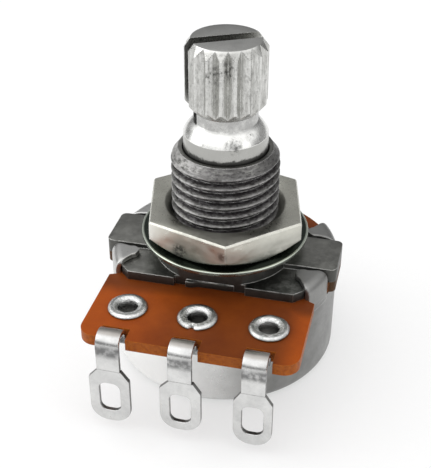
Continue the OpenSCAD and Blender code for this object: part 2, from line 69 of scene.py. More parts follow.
def settle(obj, sharp_deg=35):
    """Turns the modifiers of obj into its mesh."""
    bpy.context.view_layer.update()
    shaped = obj.evaluated_get(bpy.context.evaluated_depsgraph_get())
    mesh = bpy.data.meshes.new_from_object(shaped)
    old = obj.data
    obj.modifiers.clear()
    obj.data = mesh
    bpy.data.meshes.remove(old)
    shade(mesh, sharp_deg)
    return obj


def combine(obj, others, operation):
    """Adds others to obj, or cuts them from it; the others are used up."""
    for other in others:
        step = obj.modifiers.new("step", "BOOLEAN")
        step.operation = operation
        step.solver = "EXACT"
        step.object = other
    settle(obj)
    for other in others:
        mesh = other.data
        bpy.data.objects.remove(other)
        bpy.data.meshes.remove(mesh)
    return obj


def cut(obj, *tools):
    return combine(obj, tools, "DIFFERENCE")


def fuse(obj, *parts):
    return combine(obj, parts, "UNION")


def soften(obj, width, segments=2, angle=30, sharp_deg=35):
    """Rounds the edges of obj that are steeper than angle."""
    step = obj.modifiers.new("edges", "BEVEL")
    step.width = width * MM
    step.segments = segments
    step.limit_method = "ANGLE"
    step.angle_limit = math.radians(angle)
    step.use_clamp_overlap = True
    return settle(obj, sharp_deg)


def join(name, *objs):
    """One object from several, without changing their surfaces."""
    points, faces = [], []
    for obj in objs:
        start = len(points)
        points += [tuple(v.co / MM) for v in obj.data.vertices]
        faces += [[start + i for i in p.vertices] for p in obj.data.polygons]
        mesh = obj.data
        bpy.data.objects.remove(obj)
        bpy.data.meshes.remove(mesh)
    return mesh_object(name, points, faces)


def place(obj, turn=0.0, shift=(0, 0, 0)):
    """Turns the mesh of obj about Z, in degrees, then shifts it, in millimetres."""
    turned = Matrix.Rotation(math.radians(turn), 4, "Z")
    obj.data.transform(Matrix.Translation(Vector(shift) * MM) @ turned)
    return obj


def prism(name, outline, low, high):
    """Solid between two levels from a closed outline."""
    n = len(outline)
    points = [(x, y, low) for x, y in outline] + [(x, y, high) for x, y in outline]
    faces = [list(range(n))[::-1], list(range(n, 2 * n))]
    faces += [[i, (i + 1) % n, n + (i + 1) % n, n + i] for i in range(n)]
    return mesh_object(name, points, faces)


def arc(cx, cy, r, start, end, steps):
    """Points on an arc, angles in degrees."""
    out = []
    for i in range(steps + 1):
        a = math.radians(start + (end - start) * i / steps)
        out.append((cx + r * math.cos(a), cy + r * math.sin(a)))
    return out


def rod(name, r, low, high, at=(0, 0), steps=96):
    """Straight round solid."""
    return prism(name, arc(at[0], at[1], r, 0, 360, steps)[:-1], low, high)


def block(name, x0, x1, y0, y1, low, high):
    return prism(name, [(x0, y0), (x1, y0), (x1, y1), (x0, y1)], low, high)


def skin(name, rows, close_rows=True, sharp_deg=35):
    """Surface through rows of equal length, each row a closed loop. Open rows get end caps."""
    n, m = len(rows[0]), len(rows)
    points = [p for row in rows for p in row]
    faces = []
    for i in range(m if close_rows else m - 1):
        j = (i + 1) % m
        for k in range(n):
            q = (k + 1) % n
            faces.append([i * n + k, i * n + q, j * n + q, j * n + k])
    if not close_rows:
        faces += [list(range(n))[::-1], [(m - 1) * n + k for k in range(n)]]
    return mesh_object(name, points, faces, sharp_deg)


def around(steps, start=0.0):
    """Evenly spaced directions round Z."""
    return [start + TURN * k / steps for k in range(steps)]


def lathe(name, profile, angles, shape=None, closed=True, sharp_deg=35):
    """Turns a profile of (radius, height) about Z. shape(r, z, angle) may change radius and height."""
    rows = []
    for r, z in profile:
        row = []
        for a in angles:
            rr, zz = shape(r, z, a) if shape else (r, z)
            row.append((rr * math.cos(a), rr * math.sin(a), zz))
        rows.append(row)
    return skin(name, rows, closed, sharp_deg)


def rounded(profile, r, steps):
    """The closed profile with every corner rounded by about r."""
    out = []
    n = len(profile)
    for i in range(n):
        p, c, q = (Vector(profile[(i + d) % n]) for d in (-1, 0, 1))
        back, ahead = p - c, q - c
        reach = min(r, back.length * 0.45, ahead.length * 0.45)
        a, b = c + back.normalized() * reach, c + ahead.normalized() * reach
        for s in range(steps + 1):
            t = s / steps
            out.append(tuple(a * (1 - t) ** 2 + c * 2 * t * (1 - t) + b * t ** 2))
    return out


def line(a, b, steps):
    """Points from a to b, without the last one."""
    return [(a[0] + (b[0] - a[0]) * i / steps, a[1] + (b[1] - a[1]) * i / steps) for i in range(steps)]


def rounded_box(half_x, half_y, r, steps, centre=(0, 0)):
    """Outline of a rectangle with round corners."""
    out = []
    for sx, sy, start in ((1, 1, 0), (-1, 1, 90), (-1, -1, 180), (1, -1, 270)):
        cx, cy = centre[0] + sx * (half_x - r), centre[1] + sy * (half_y - r)
        out += arc(cx, cy, r, start, start + 90, steps)
    return out


def unit(value):
    """The value, kept between 0 and 1."""
    return min(max(value, 0.0), 1.0)


def soft_min(a, b, k):
    """The smaller of a and b, blended where they meet within k."""
    h = max(k - abs(a - b), 0.0) / k
    return min(a, b) - h * h * k * 0.25


# Shaft
AXIS_R = 0.02
TIP_Z, KNURL_FOOT, NECK_FOOT, JOURNAL_TOP = 15.0, 9.9, 9.15, 8.2
CREST_R, KNURL_DEEP, TEETH, KNURL_TURN = 2.85, 0.42, 18, 15.5
HALF_LAND, ROOT_FILL, CREST_WEAR, CREST_BLEND = 1.1, 0.012, 0.010, 0.012
TIP_R, TIP_CHAMFER, FOOT_CHAMFER = 2.42, 0.6, 0.7
NECK_R, JOURNAL_R, FLARE_BULGE, FLARE_STEPS = 2.25, 3.0, 0.08, 20
SHOULDER_Z, STEM_R, STEM_END, STEM_ROUND = -0.15, 2.25, -6.08, 0.05
SLOT_W, SLOT_FOOT, SLOT_TURN, SLOT_REACH = 1.0, 9.1, 27.7, 3.5
GROOVE_LOW, GROOVE_TOP, GROOVE_DEEP = -1.65, -1.15, 0.4
FLAT_X, FLAT_CUT, FLAT_REACH, FLAT_TOP = 1.65, 1.55, 3.2, -3.18


def knurl_radius(angle):
    """Radius of the serrations: V grooves with a narrow worn land on every crest."""
    step = 360.0 / TEETH
    a = (math.degrees(angle) - KNURL_TURN + step / 2) % step - step / 2
    t = (abs(a) - HALF_LAND) / (step / 2 - HALF_LAND)
    return min(max(CREST_R - KNURL_DEEP * t, CREST_R - KNURL_DEEP + ROOT_FILL), CREST_R)


def knurl_angles():
    """Directions that follow the crests, flanks and roots of the serrations."""
    step = 360.0 / TEETH
    half = [0.0, HALF_LAND, HALF_LAND + 0.35, 2.4, 4.0, 5.6, 7.2, 8.6, 9.4]
    offsets = [-a for a in half[:0:-1]] + half + [step / 2]
    return [math.radians(KNURL_TURN + i * step + a) for i in range(TEETH) for a in offsets]


def shaft_shape(r, z, angle):
    """Serrations on the head, with slightly worn crests; all the rest stays round."""
    if z < KNURL_FOOT - 0.01 or r < TIP_R - 0.25:
        return r, z
    wear = CREST_WEAR * noise.noise(Vector((math.cos(angle) * 4, math.sin(angle) * 4, z * 1.7)))
    return soft_min(r, knurl_radius(angle) + min(wear, 0.0), CREST_BLEND), z


def shaft_profile():
    """Outline of the round shaft from the tip down to the stem's end."""
    side_top, side_foot = TIP_Z - TIP_CHAMFER, KNURL_FOOT + FOOT_CHAMFER
    tip = [(AXIS_R, TIP_Z), (1.2, TIP_Z), (TIP_R - 0.03, TIP_Z)]
    chamfer = line((TIP_R, TIP_Z - 0.012), (CREST_R, side_top), 26)
    side = line((CREST_R, side_top), (CREST_R, side_foot), 24)
    foot = line((CREST_R, side_foot), (NECK_R, KNURL_FOOT), 26)
    neck = line((NECK_R, KNURL_FOOT), (NECK_R, NECK_FOOT + 0.06), 6)
    flare = []
    for i in range(FLARE_STEPS + 1):
        r = NECK_R + (JOURNAL_R - NECK_R) * i / FLARE_STEPS
        z = NECK_FOOT - (NECK_FOOT - JOURNAL_TOP) * i / FLARE_STEPS
        flare.append((r + FLARE_BULGE * math.sin(math.pi * i / FLARE_STEPS), z))
    journal = [(JOURNAL_R, JOURNAL_TOP - 0.04), (JOURNAL_R, BUSH_TOP - 0.5), (JOURNAL_R, SHOULDER_Z + 0.05)]
    stem = [(JOURNAL_R - 0.05, SHOULDER_Z), (STEM_R, SHOULDER_Z), (STEM_R, STEM_END + STEM_ROUND),
            (STEM_R - STEM_ROUND, STEM_END), (AXIS_R, STEM_END)]
    return tip + chamfer + side + foot + neck + flare + journal + stem


def make_shaft():
    profile = shaft_profile()[::-1]
    body = lathe("shaft_body", profile, knurl_angles(), shaft_shape, closed=False, sharp_deg=22)
    slot = block("slot", -SLOT_REACH, SLOT_REACH, -SLOT_W / 2, SLOT_W / 2, SLOT_FOOT, TIP_Z + 1)
    place(slot, SLOT_TURN)
    depth = STEM_R - GROOVE_DEEP
    ring = [(depth, GROOVE_LOW), (JOURNAL_R, GROOVE_LOW), (JOURNAL_R, GROOVE_TOP), (depth, GROOVE_TOP)]
    groove = lathe("groove", ring, around(64))
    flats = [block("flat", x, x + FLAT_CUT, -FLAT_REACH, FLAT_REACH, STEM_END - 1, FLAT_TOP)
             for x in (FLAT_X, -FLAT_X - FLAT_CUT)]
    cut(body, slot, groove, *flats)
    shade(body.data, 22)
    return body


# Bushing and plate
THREAD_R, PITCH, THREAD_DEEP, BUSH_TOP, BUSH_FOOT = 3.9, 0.75, 0.40, 7.0, -0.9
THREAD_PHASE, THREAD_START, FADE_IN, RUN_OUT, FADE_OUT = 0.11, 0.15, 0.5, 6.55, 0.35
CREST_SHARE, FLANK_SHARE, THREAD_BLEND = 0.08, 0.72, 0.025
LEAD_H, LEAD_DEEP, LEAD_STEPS = 0.72, 0.50, 16
BORE_R, MOUTH_R, STEM_HOLE_R, SEAT_Z = 3.05, 3.3, 2.3, -0.2
PLATE_LOW, WEB_TOP, EAR_TOP = -2.13, -1.42, -1.05
WEB_X, WEB_FRONT, WEB_BEVEL, WEB_R = 6.7, -5.0, 0.65, 6.9
EAR_X, EAR_Y, EAR_CORNER = 8.65, 1.95, 0.45
BOSS_R, POCKET_R, POCKET_TOP = 5.2, 4.0, -1.1
NOTCH_X, NOTCH_Y, STUB_X, STUB_TOP = 2.6, -4.7, 1.75, -1.62


def thread_shape(r, z, angle):
    """A right-hand helix cut into the bushing's outside; the rings of the bore and the foot stay round."""
    if r < MOUTH_R + 0.05 or z < 0.1:
        return r, z
    phase = ((z - THREAD_PHASE) / PITCH - angle / TURN) % 1.0
    t = abs(phase - 0.5) * 2
    depth = THREAD_DEEP * unit((t - CREST_SHARE) / FLANK_SHARE)
    fade = unit((z - THREAD_START) / FADE_IN) * unit((RUN_OUT - z) / FADE_OUT)
    place_on = Vector((math.cos(angle) * 5, math.sin(angle) * 5, z * 2.3))
    rough = 0.02 * noise.noise(place_on) + 0.016 * noise.noise(place_on * 4)
    return soft_min(r, THREAD_R - depth * fade + min(rough, 0.0), THREAD_BLEND), z


def make_bushing():
    outside = line((THREAD_R, BUSH_FOOT), (THREAD_R, BUSH_TOP - LEAD_H), 240)
    chamfer = []
    for i in range(LEAD_STEPS + 1):
        t = i / LEAD_STEPS
        chamfer.append((THREAD_R - LEAD_DEEP * t ** 1.4, BUSH_TOP - LEAD_H * (1 - t) ** 0.8))
    top = [(MOUTH_R, BUSH_TOP), (BORE_R + 0.06, BUSH_TOP), (BORE_R, BUSH_TOP - 0.06)]
    inside = [(BORE_R, 2.0), (BORE_R, SEAT_Z), (STEM_HOLE_R, SEAT_Z), (STEM_HOLE_R, POCKET_TOP),
              (MOUTH_R, POCKET_TOP), (MOUTH_R, POCKET_TOP - 0.2)]
    return lathe("bushing", outside + chamfer + top + inside, around(324), thread_shape)


def web_outline():
    """Front lips, side walls and round rear of the web."""
    half = [(WEB_X, WEB_FRONT + WEB_BEVEL), (WEB_X - WEB_BEVEL, WEB_FRONT), (NOTCH_X, WEB_FRONT),
            (NOTCH_X - 0.05, WEB_FRONT + 0.3)]
    return [(-x, y) for x, y in half] + half[::-1] + arc(0, 0, WEB_R, 0, 180, 48)


def ear_outline():
    """Plan of the two ears in one bar; plate and board have the same."""
    return rounded_box(EAR_X, EAR_Y, EAR_CORNER, 5)


def make_stub():
    """The rough lump of the casting between the lips."""
    edge = [(-STUB_X, 0.3), (-STUB_X, -0.3), (-1.3, -0.3), (-0.9, -0.1), (0.2, -0.08), (1.1, -0.12),
            (STUB_X, -0.05), (STUB_X, 0.3)]
    stub = prism("stub", [(x, NOTCH_Y + y) for x, y in edge], PLATE_LOW + 0.01, STUB_TOP)
    return soften(stub, 0.05, 2)


def make_plate():
    body = prism("web", web_outline(), PLATE_LOW, WEB_TOP)
    ears = prism("ears", ear_outline(), PLATE_LOW, EAR_TOP)
    boss = rod("boss", BOSS_R, PLATE_LOW, 0, steps=128)
    fuse(body, ears, boss)
    flat = block("flat", -NOTCH_X, NOTCH_X, -6.0, NOTCH_Y, PLATE_LOW - 1, 0.5)
    pocket = rod("pocket", POCKET_R, PLATE_LOW - 1, POCKET_TOP)
    bore = rod("bore", MOUTH_R + 0.1, -3, 1)
    cut(body, flat, pocket, bore)
    soften(body, 0.09, 3)
    return join("plate_casting", body, make_stub(), make_bushing())


# Nut and washer
NUT_LOW, NUT_TOP, NUT_HALF, NUT_TURN = 0.3, 2.5, 5.4, 13.0
NUT_INSIDE, NUT_RIM, CONE_IN, CONE_H, HEX_POWER = 4.9, 0.13, 0.15, 0.8, 420.0
WASHER_R, WASHER_IN, WASHER_T = 6.15, 4.1, 0.3


def hexagon(angle):
    """Radius of a hexagon with slightly rounded corners."""
    reach = [math.cos(angle - math.radians(NUT_TURN - 90 + 30 + 60 * i)) for i in range(6)]
    top = max(reach)
    total = sum((c / top) ** HEX_POWER for c in reach if c > 0)
    return NUT_HALF / (top * total ** (1 / HEX_POWER))


def nut_shape(r, z, angle):
    """Hexagon with a cone on its lower corners, a worn top edge and a few dents."""
    if r < NUT_INSIDE:
        return r, z
    corner = NUT_HALF / math.cos(math.pi / 6)
    cone = NUT_HALF - CONE_IN + (z - NUT_LOW) / CONE_H * (corner - NUT_HALF + CONE_IN)
    side = soft_min(hexagon(angle), cone, 0.06)
    dent = 0.03 * noise.noise(Vector((math.cos(angle) * 6, math.sin(angle) * 6, z * 1.2)))
    worn = max(z - (NUT_TOP - NUT_RIM), 0.0)
    burr = 0.03 * noise.noise(Vector((math.cos(angle) * 22, math.sin(angle) * 22, 3.0)))
    return side + min(dent, 0.0) - worn * (0.85 + 4 * burr), z


def make_nut():
    hole, sink, far = 3.92, 0.45, 6.3
    outer = line((far, NUT_LOW), (far, NUT_TOP - NUT_RIM), 44)
    rim = [(far, NUT_TOP - drop) for drop in (NUT_RIM, 0.09, 0.05, 0.02, 0.0)]
    mouth = [(hole + sink + 0.05, NUT_TOP), (hole + sink, NUT_TOP - 0.02)]
    bore = [(hole, NUT_TOP - sink), (hole, NUT_LOW + 0.2), (hole + 0.2, NUT_LOW)]
    return lathe("nut", outer + rim + mouth + bore, around(360, math.radians(NUT_TURN - 90)), nut_shape)


def make_washer():
    section = [(WASHER_IN, 0), (WASHER_R, 0), (WASHER_R, WASHER_T), (WASHER_IN, WASHER_T)]
    return lathe("washer", rounded(section, 0.08, 4), around(192))


# Rear cover
COVER_R, COVER_T, BACK_Z, RIM_Z, WALL_MID = 8.45, 0.4, -9.8, -2.98, -6.0
FOLD_R, TAB_W, TAB_TIP, TAB_END = 0.35, 2.5, 6.45, 0.6
TAB_ANGLES = (23.98, 156.02, 203.98, 336.02)
OPENING_R, OPENING_DEEP = 2.118, 1.1


def cup_profile():
    edge, inner = 1.0, COVER_R - COVER_T
    outer = arc(COVER_R - edge, BACK_Z + edge, edge, -90, 0, 10)
    inside = arc(inner - edge + COVER_T, BACK_Z + edge, edge - COVER_T, 0, -90, 8)
    wall = [(COVER_R, WALL_MID), (COVER_R, RIM_Z - 0.04), (COVER_R - 0.05, RIM_Z),
            (inner + 0.05, RIM_Z), (inner, RIM_Z - 0.05), (inner, WALL_MID)]
    return [(AXIS_R, BACK_Z)] + outer + wall + inside + [(AXIS_R, BACK_Z + COVER_T)]


def tab_half_width(x):
    """Half width of a tab's plan at a distance from the axis."""
    round_x, wall = TAB_TIP + TAB_END, COVER_R - COVER_T
    if x < round_x:
        return math.sqrt(max(TAB_END ** 2 - (round_x - x) ** 2, 0.0))
    t = min((x - round_x) / (wall - round_x), 1.0)
    return TAB_END + (TAB_W / 2 - TAB_END) * t


def make_tab(angle):
    """A tongue of the wall, carried up past the board and folded over the web."""
    bend_x, bend_z = COVER_R - COVER_T - FOLD_R, WEB_TOP - FOLD_R
    centre = [(COVER_R - COVER_T / 2, RIM_Z - 0.4), (COVER_R - COVER_T / 2, RIM_Z + 0.3)]
    centre += arc(bend_x, bend_z, FOLD_R + COVER_T / 2, 0, 90, 12)
    lie = WEB_TOP + COVER_T / 2
    centre.append((bend_x - 0.2, lie))
    centre += [(TAB_TIP + ahead, lie) for ahead in (0.75, 0.6, 0.4, 0.25, 0.13, 0.05, 0.005)]
    rows = []
    for i, (x, z) in enumerate(centre):
        p, q = centre[max(i - 1, 0)], centre[min(i + 1, len(centre) - 1)]
        d = Vector((q[0] - p[0], q[1] - p[1])).normalized()
        side = Vector((d[1], -d[0]))
        half = max(tab_half_width(x), 0.07)
        ring = []
        for u, v in tab_ring(half, COVER_T / 2):
            away = x + side[0] * v
            ring.append((math.sqrt(away * away - u * u), u, z + side[1] * v))
        rows.append(ring)
    return place(skin("tab", rows, False), angle)


def tab_ring(half, thick):
    """Cross-section of the sheet with rounded edges: (across, through) pairs."""
    r = min(0.1, half * 0.6)
    flat = [(-half + r + (2 * half - 2 * r) * i / 8, thick) for i in range(9)]
    corner = [(half - r + r * math.sin(t), thick - r + r * math.cos(t)) for t in (0.5, 1.0, 1.4)]
    upper = flat + corner + [(u, -v) for u, v in corner[::-1]]
    return upper + [(-u, -v) for u, v in upper]


def make_cover():
    cup = lathe("cup", cup_profile(), around(192), closed=False)
    low, high = RIM_Z - OPENING_DEEP, RIM_Z + 1
    cut(cup, *[rod("opening", OPENING_R, low, high, (x, EYELET_ROW), 64) for x in COLUMNS])
    tabs = [make_tab(a) for a in TAB_ANGLES]
    return join("cover_sheet", cup, *tabs)


# Terminal board
BOARD_LOW, BOARD_TOP, BOARD_R = RIM_Z, PLATE_LOW, 8.4
TONGUE_X, TONGUE_Y, TONGUE_CORNER = 7.55, -11.7, 1.1
TERMINAL_PITCH, EYELET_ROW = 5.0, -8.275
COLUMNS = (-TERMINAL_PITCH, 0.0, TERMINAL_PITCH)
STRIP_NOTCH_Y, EYELET_HOLE_R, CENTRE_HOLE_R = -10.5, 0.88, 2.75
TAB_SLOT_R, TAB_SLOT_HALF = 8.03, 1.27


def make_board():
    disc = rod("disc", BOARD_R, BOARD_LOW, BOARD_TOP, steps=160)
    r, x, y = TONGUE_CORNER, TONGUE_X, TONGUE_Y
    tongue = [(-x, 0)] + arc(-x + r, y + r, r, 180, 270, 8)
    tongue += arc(x - r, y + r, r, 270, 360, 8) + [(x, 0)]
    front = prism("front", tongue, BOARD_LOW, BOARD_TOP)
    ears = prism("ears", ear_outline(), BOARD_LOW, BOARD_TOP)
    fuse(disc, front, ears)
    low, high = BOARD_LOW - 1.02, 0
    tools = [block("notch", x - 1.05, x + 0.88, TONGUE_Y - 1.3, STRIP_NOTCH_Y, low, high) for x in COLUMNS]
    tools += [rod("hole", EYELET_HOLE_R, low, high, (x, EYELET_ROW), 32) for x in COLUMNS]
    tools.append(rod("centre", CENTRE_HOLE_R, low, high))
    for a in TAB_ANGLES:
        slot = block("slot", TAB_SLOT_R, 9.0, -TAB_SLOT_HALF, TAB_SLOT_HALF, low, high)
        tools.append(place(slot, a))
    cut(disc, *tools)
    disc.name = "board_sheet"
    return soften(disc, 0.035, 1, 40)


# Eyelets and terminals
BARREL_R, BARREL_T, FLANGE_R, FLANGE_H = 0.875, 0.2, 1.425, 0.32


def eyelet_profile():
    """Barrel with its top edge rolled outwards and its low edge curled."""
    top, low, inner, rim = BOARD_TOP, BOARD_LOW - 0.35, BARREL_R - BARREL_T, FLANGE_R
    seat = [(BARREL_R, top), (BARREL_R + 0.02, top + 0.002)]
    over = [(rim - 0.02, top + 0.04), (rim, top + 0.12), (rim - 0.07, top + 0.22), (rim - 0.2, top + 0.29),
            (rim - 0.36, top + FLANGE_H), (inner + 0.26, top + FLANGE_H - 0.015),
            (inner + 0.12, top + FLANGE_H - 0.07), (inner + 0.03, top + FLANGE_H - 0.17), (inner, top)]
    under = [(inner, low), (inner + 0.06, low - 0.14), (inner + 0.2, low - 0.24), (inner + 0.42, low - 0.25),
             (inner + 0.58, low - 0.17), (inner + 0.625, low - 0.06), (inner + 0.6, low), (BARREL_R, low)]
    return seat + over + under


def make_eyelet(name, x, split):
    """Tube through the board. Its flange is a little uneven, and split at an angle if one is given."""
    inner = BARREL_R - BARREL_T

    def shape(r, z, a):
        if z < BOARD_TOP + 0.02 or r < inner + 0.02:
            return r, z
        n = noise.noise(Vector((math.cos(a) * 1.3 + x, math.sin(a) * 1.3, 0.4)))
        lift = 0.03 * n * (r - inner)
        rr = r + 0.03 * n * (r - inner) - 0.02 * (r - inner)
        if split is not None:
            gap = abs((math.degrees(a) - split + 180) % 360 - 180)
            notch = math.exp(-(gap / 6.5) ** 2)
            rr -= 0.26 * notch * (r - inner) / (FLANGE_R - inner)
            lift -= 0.10 * notch * (r - inner) / (FLANGE_R - inner)
        return rr, min(max(z + lift, BOARD_TOP + 0.004), BOARD_TOP + FLANGE_H)

    obj = lathe(name, eyelet_profile(), around(96), shape)
    return place(obj, 0, (x, EYELET_ROW, 0))


STRIP_T, STRIP_W, LEG_Y, STRIP_SHIFT = 0.35, 1.65, -12.4, -0.2
ARCH_R, ARCH_H, ELBOW_R = 0.9, 0.46, 0.12
PAD_R, PAD_HOLE_R = 1.5, 0.885
SHOULDER_TOP, SHOULDER_H, LUG_LEN, LUG_CORNER = -4.43, 0.75, 3.8, 1.25
HOLE_W, HOLE_H, HOLE_RIM, HOLE_CORNER = 1.5, 2.45, 0.95, 0.55
SHOULDER_R, SHOULDER_DROP = 0.25, 0.12


def strip_path():
    """Middle line of the strip in the YZ plane: under the board, elbow, arch, leg."""
    t = STRIP_T
    arch_y, arch_z = LEG_Y + ARCH_R, BOARD_TOP + ARCH_H - ARCH_R
    elbow_y, elbow_z = arch_y + ARCH_R + ELBOW_R, BOARD_LOW + ELBOW_R
    path = [(EYELET_ROW, BOARD_LOW - t / 2), (elbow_y + 0.02, BOARD_LOW - t / 2)]
    path += arc(elbow_y, elbow_z, ELBOW_R + t / 2, 270, 180, 6)
    path += arc(arch_y, arch_z, ARCH_R - t / 2, 0, 180, 18)
    path += [(LEG_Y + t / 2, -3.2), (LEG_Y + t / 2, SHOULDER_TOP + 0.01)]
    return path


def strip_ring(half, thick):
    """Cross-section of the strip with bevelled corners."""
    r = 0.06
    pts = []
    for sx, sy in ((1, 1), (1, -1), (-1, -1), (-1, 1)):
        cx, cy = sx * (half - r), sy * (thick - r)
        mid = [(cx + sx * r * 0.7, cy + sy * r * 0.7)]
        a, b = (cx, cy + sy * r), (cx + sx * r, cy)
        pts += [a] + mid + [b] if sx * sy > 0 else [b] + mid + [a]
    return pts


def make_strip(x):
    path = strip_path()
    rows = []
    for i, (y, z) in enumerate(path):
        p, q = path[max(i - 1, 0)], path[min(i + 1, len(path) - 1)]
        d = Vector((q[0] - p[0], q[1] - p[1])).normalized()
        n = Vector((-d[1], d[0]))
        rows.append([(x + u, y + n[0] * v, z + n[1] * v) for u, v in strip_ring(STRIP_W / 2, STRIP_T / 2)])
    return skin("strip", rows, False)


def ray(outline, centre, angle):
    """Distance from centre to a closed outline in a direction."""
    dx, dy = math.cos(angle), math.sin(angle)
    points = [(x - centre[0], y - centre[1]) for x, y in outline]
    best = 0.0
    for (x1, y1), (x2, y2) in zip(points, points[1:] + points[:1]):
        ex, ey = x2 - x1, y2 - y1
        den = dx * ey - dy * ex
        if abs(den) < 1e-12:
            continue
        t = (x1 * ey - y1 * ex) / den
        s = (x1 * dy - y1 * dx) / den
        if t > 0 and -1e-9 <= s <= 1 + 1e-9:
            best = max(best, t)
    return best


def make_lug(x, width, lean, trim):
    """Lug with an oblong hole: loops round the hole's centre. It leans sideways, and its end is trimmed."""
    left, right = lean - width / 2, lean + width / 2
    shoulder = SHOULDER_TOP - SHOULDER_H
    low, r, turn_z = shoulder - LUG_LEN + trim, LUG_CORNER, shoulder - SHOULDER_DROP
    outer = arc(left + r, low + r, r, 180, 270, 12) + arc(right - r, low + r, r, 270, 360, 12)
    outer += arc(right - SHOULDER_R, turn_z, SHOULDER_R, 0, 45, 5)
    outer += [(STRIP_W / 2, SHOULDER_TOP), (-STRIP_W / 2, SHOULDER_TOP)]
    outer += arc(left + SHOULDER_R, turn_z, SHOULDER_R, 135, 180, 5)
    centre = (lean, shoulder - LUG_LEN + HOLE_RIM + HOLE_H / 2)
    inner = rounded_box(HOLE_W / 2, HOLE_H / 2, HOLE_CORNER, 8, centre)
    directions = [math.atan2(v - centre[1], u - centre[0]) % TURN for u, v in outer + inner]
    angles = sorted({round(a, 5) for a in directions})
    loops = [(inner, 0.0, 0.04), (inner, 0.04, 0.0), (outer, -0.06, 0.0), (outer, -0.018, 0.02),
             (outer, 0.0, 0.07)]
    half = STRIP_T / 2
    levels = [(o, grow, half - drop) for o, grow, drop in loops]
    levels += [(o, grow, drop - half) for o, grow, drop in loops[::-1]]
    rows = []
    for outline, grow, depth in levels:
        row = []
        for a in angles:
            d = ray(outline, centre, a) + grow
            row.append((x + d * math.cos(a), LEG_Y + half - depth, centre[1] + d * math.sin(a)))
        rows.append(row)
    return skin("lug", rows, True, 50)


def make_terminal(name, x, lug):
    """Pad, strip and lug in one; lug is the lug's width, lean and trim."""
    pad = rod("pad", PAD_R, BOARD_LOW - STRIP_T, BOARD_LOW, (x, EYELET_ROW), 48)
    hole = rod("hole", PAD_HOLE_R, -4, -2, (x, EYELET_ROW), 32)
    cut(pad, hole)
    soften(pad, 0.04, 2)
    column = x + STRIP_SHIFT
    return join(name, pad, make_strip(column), make_lug(column, *lug))


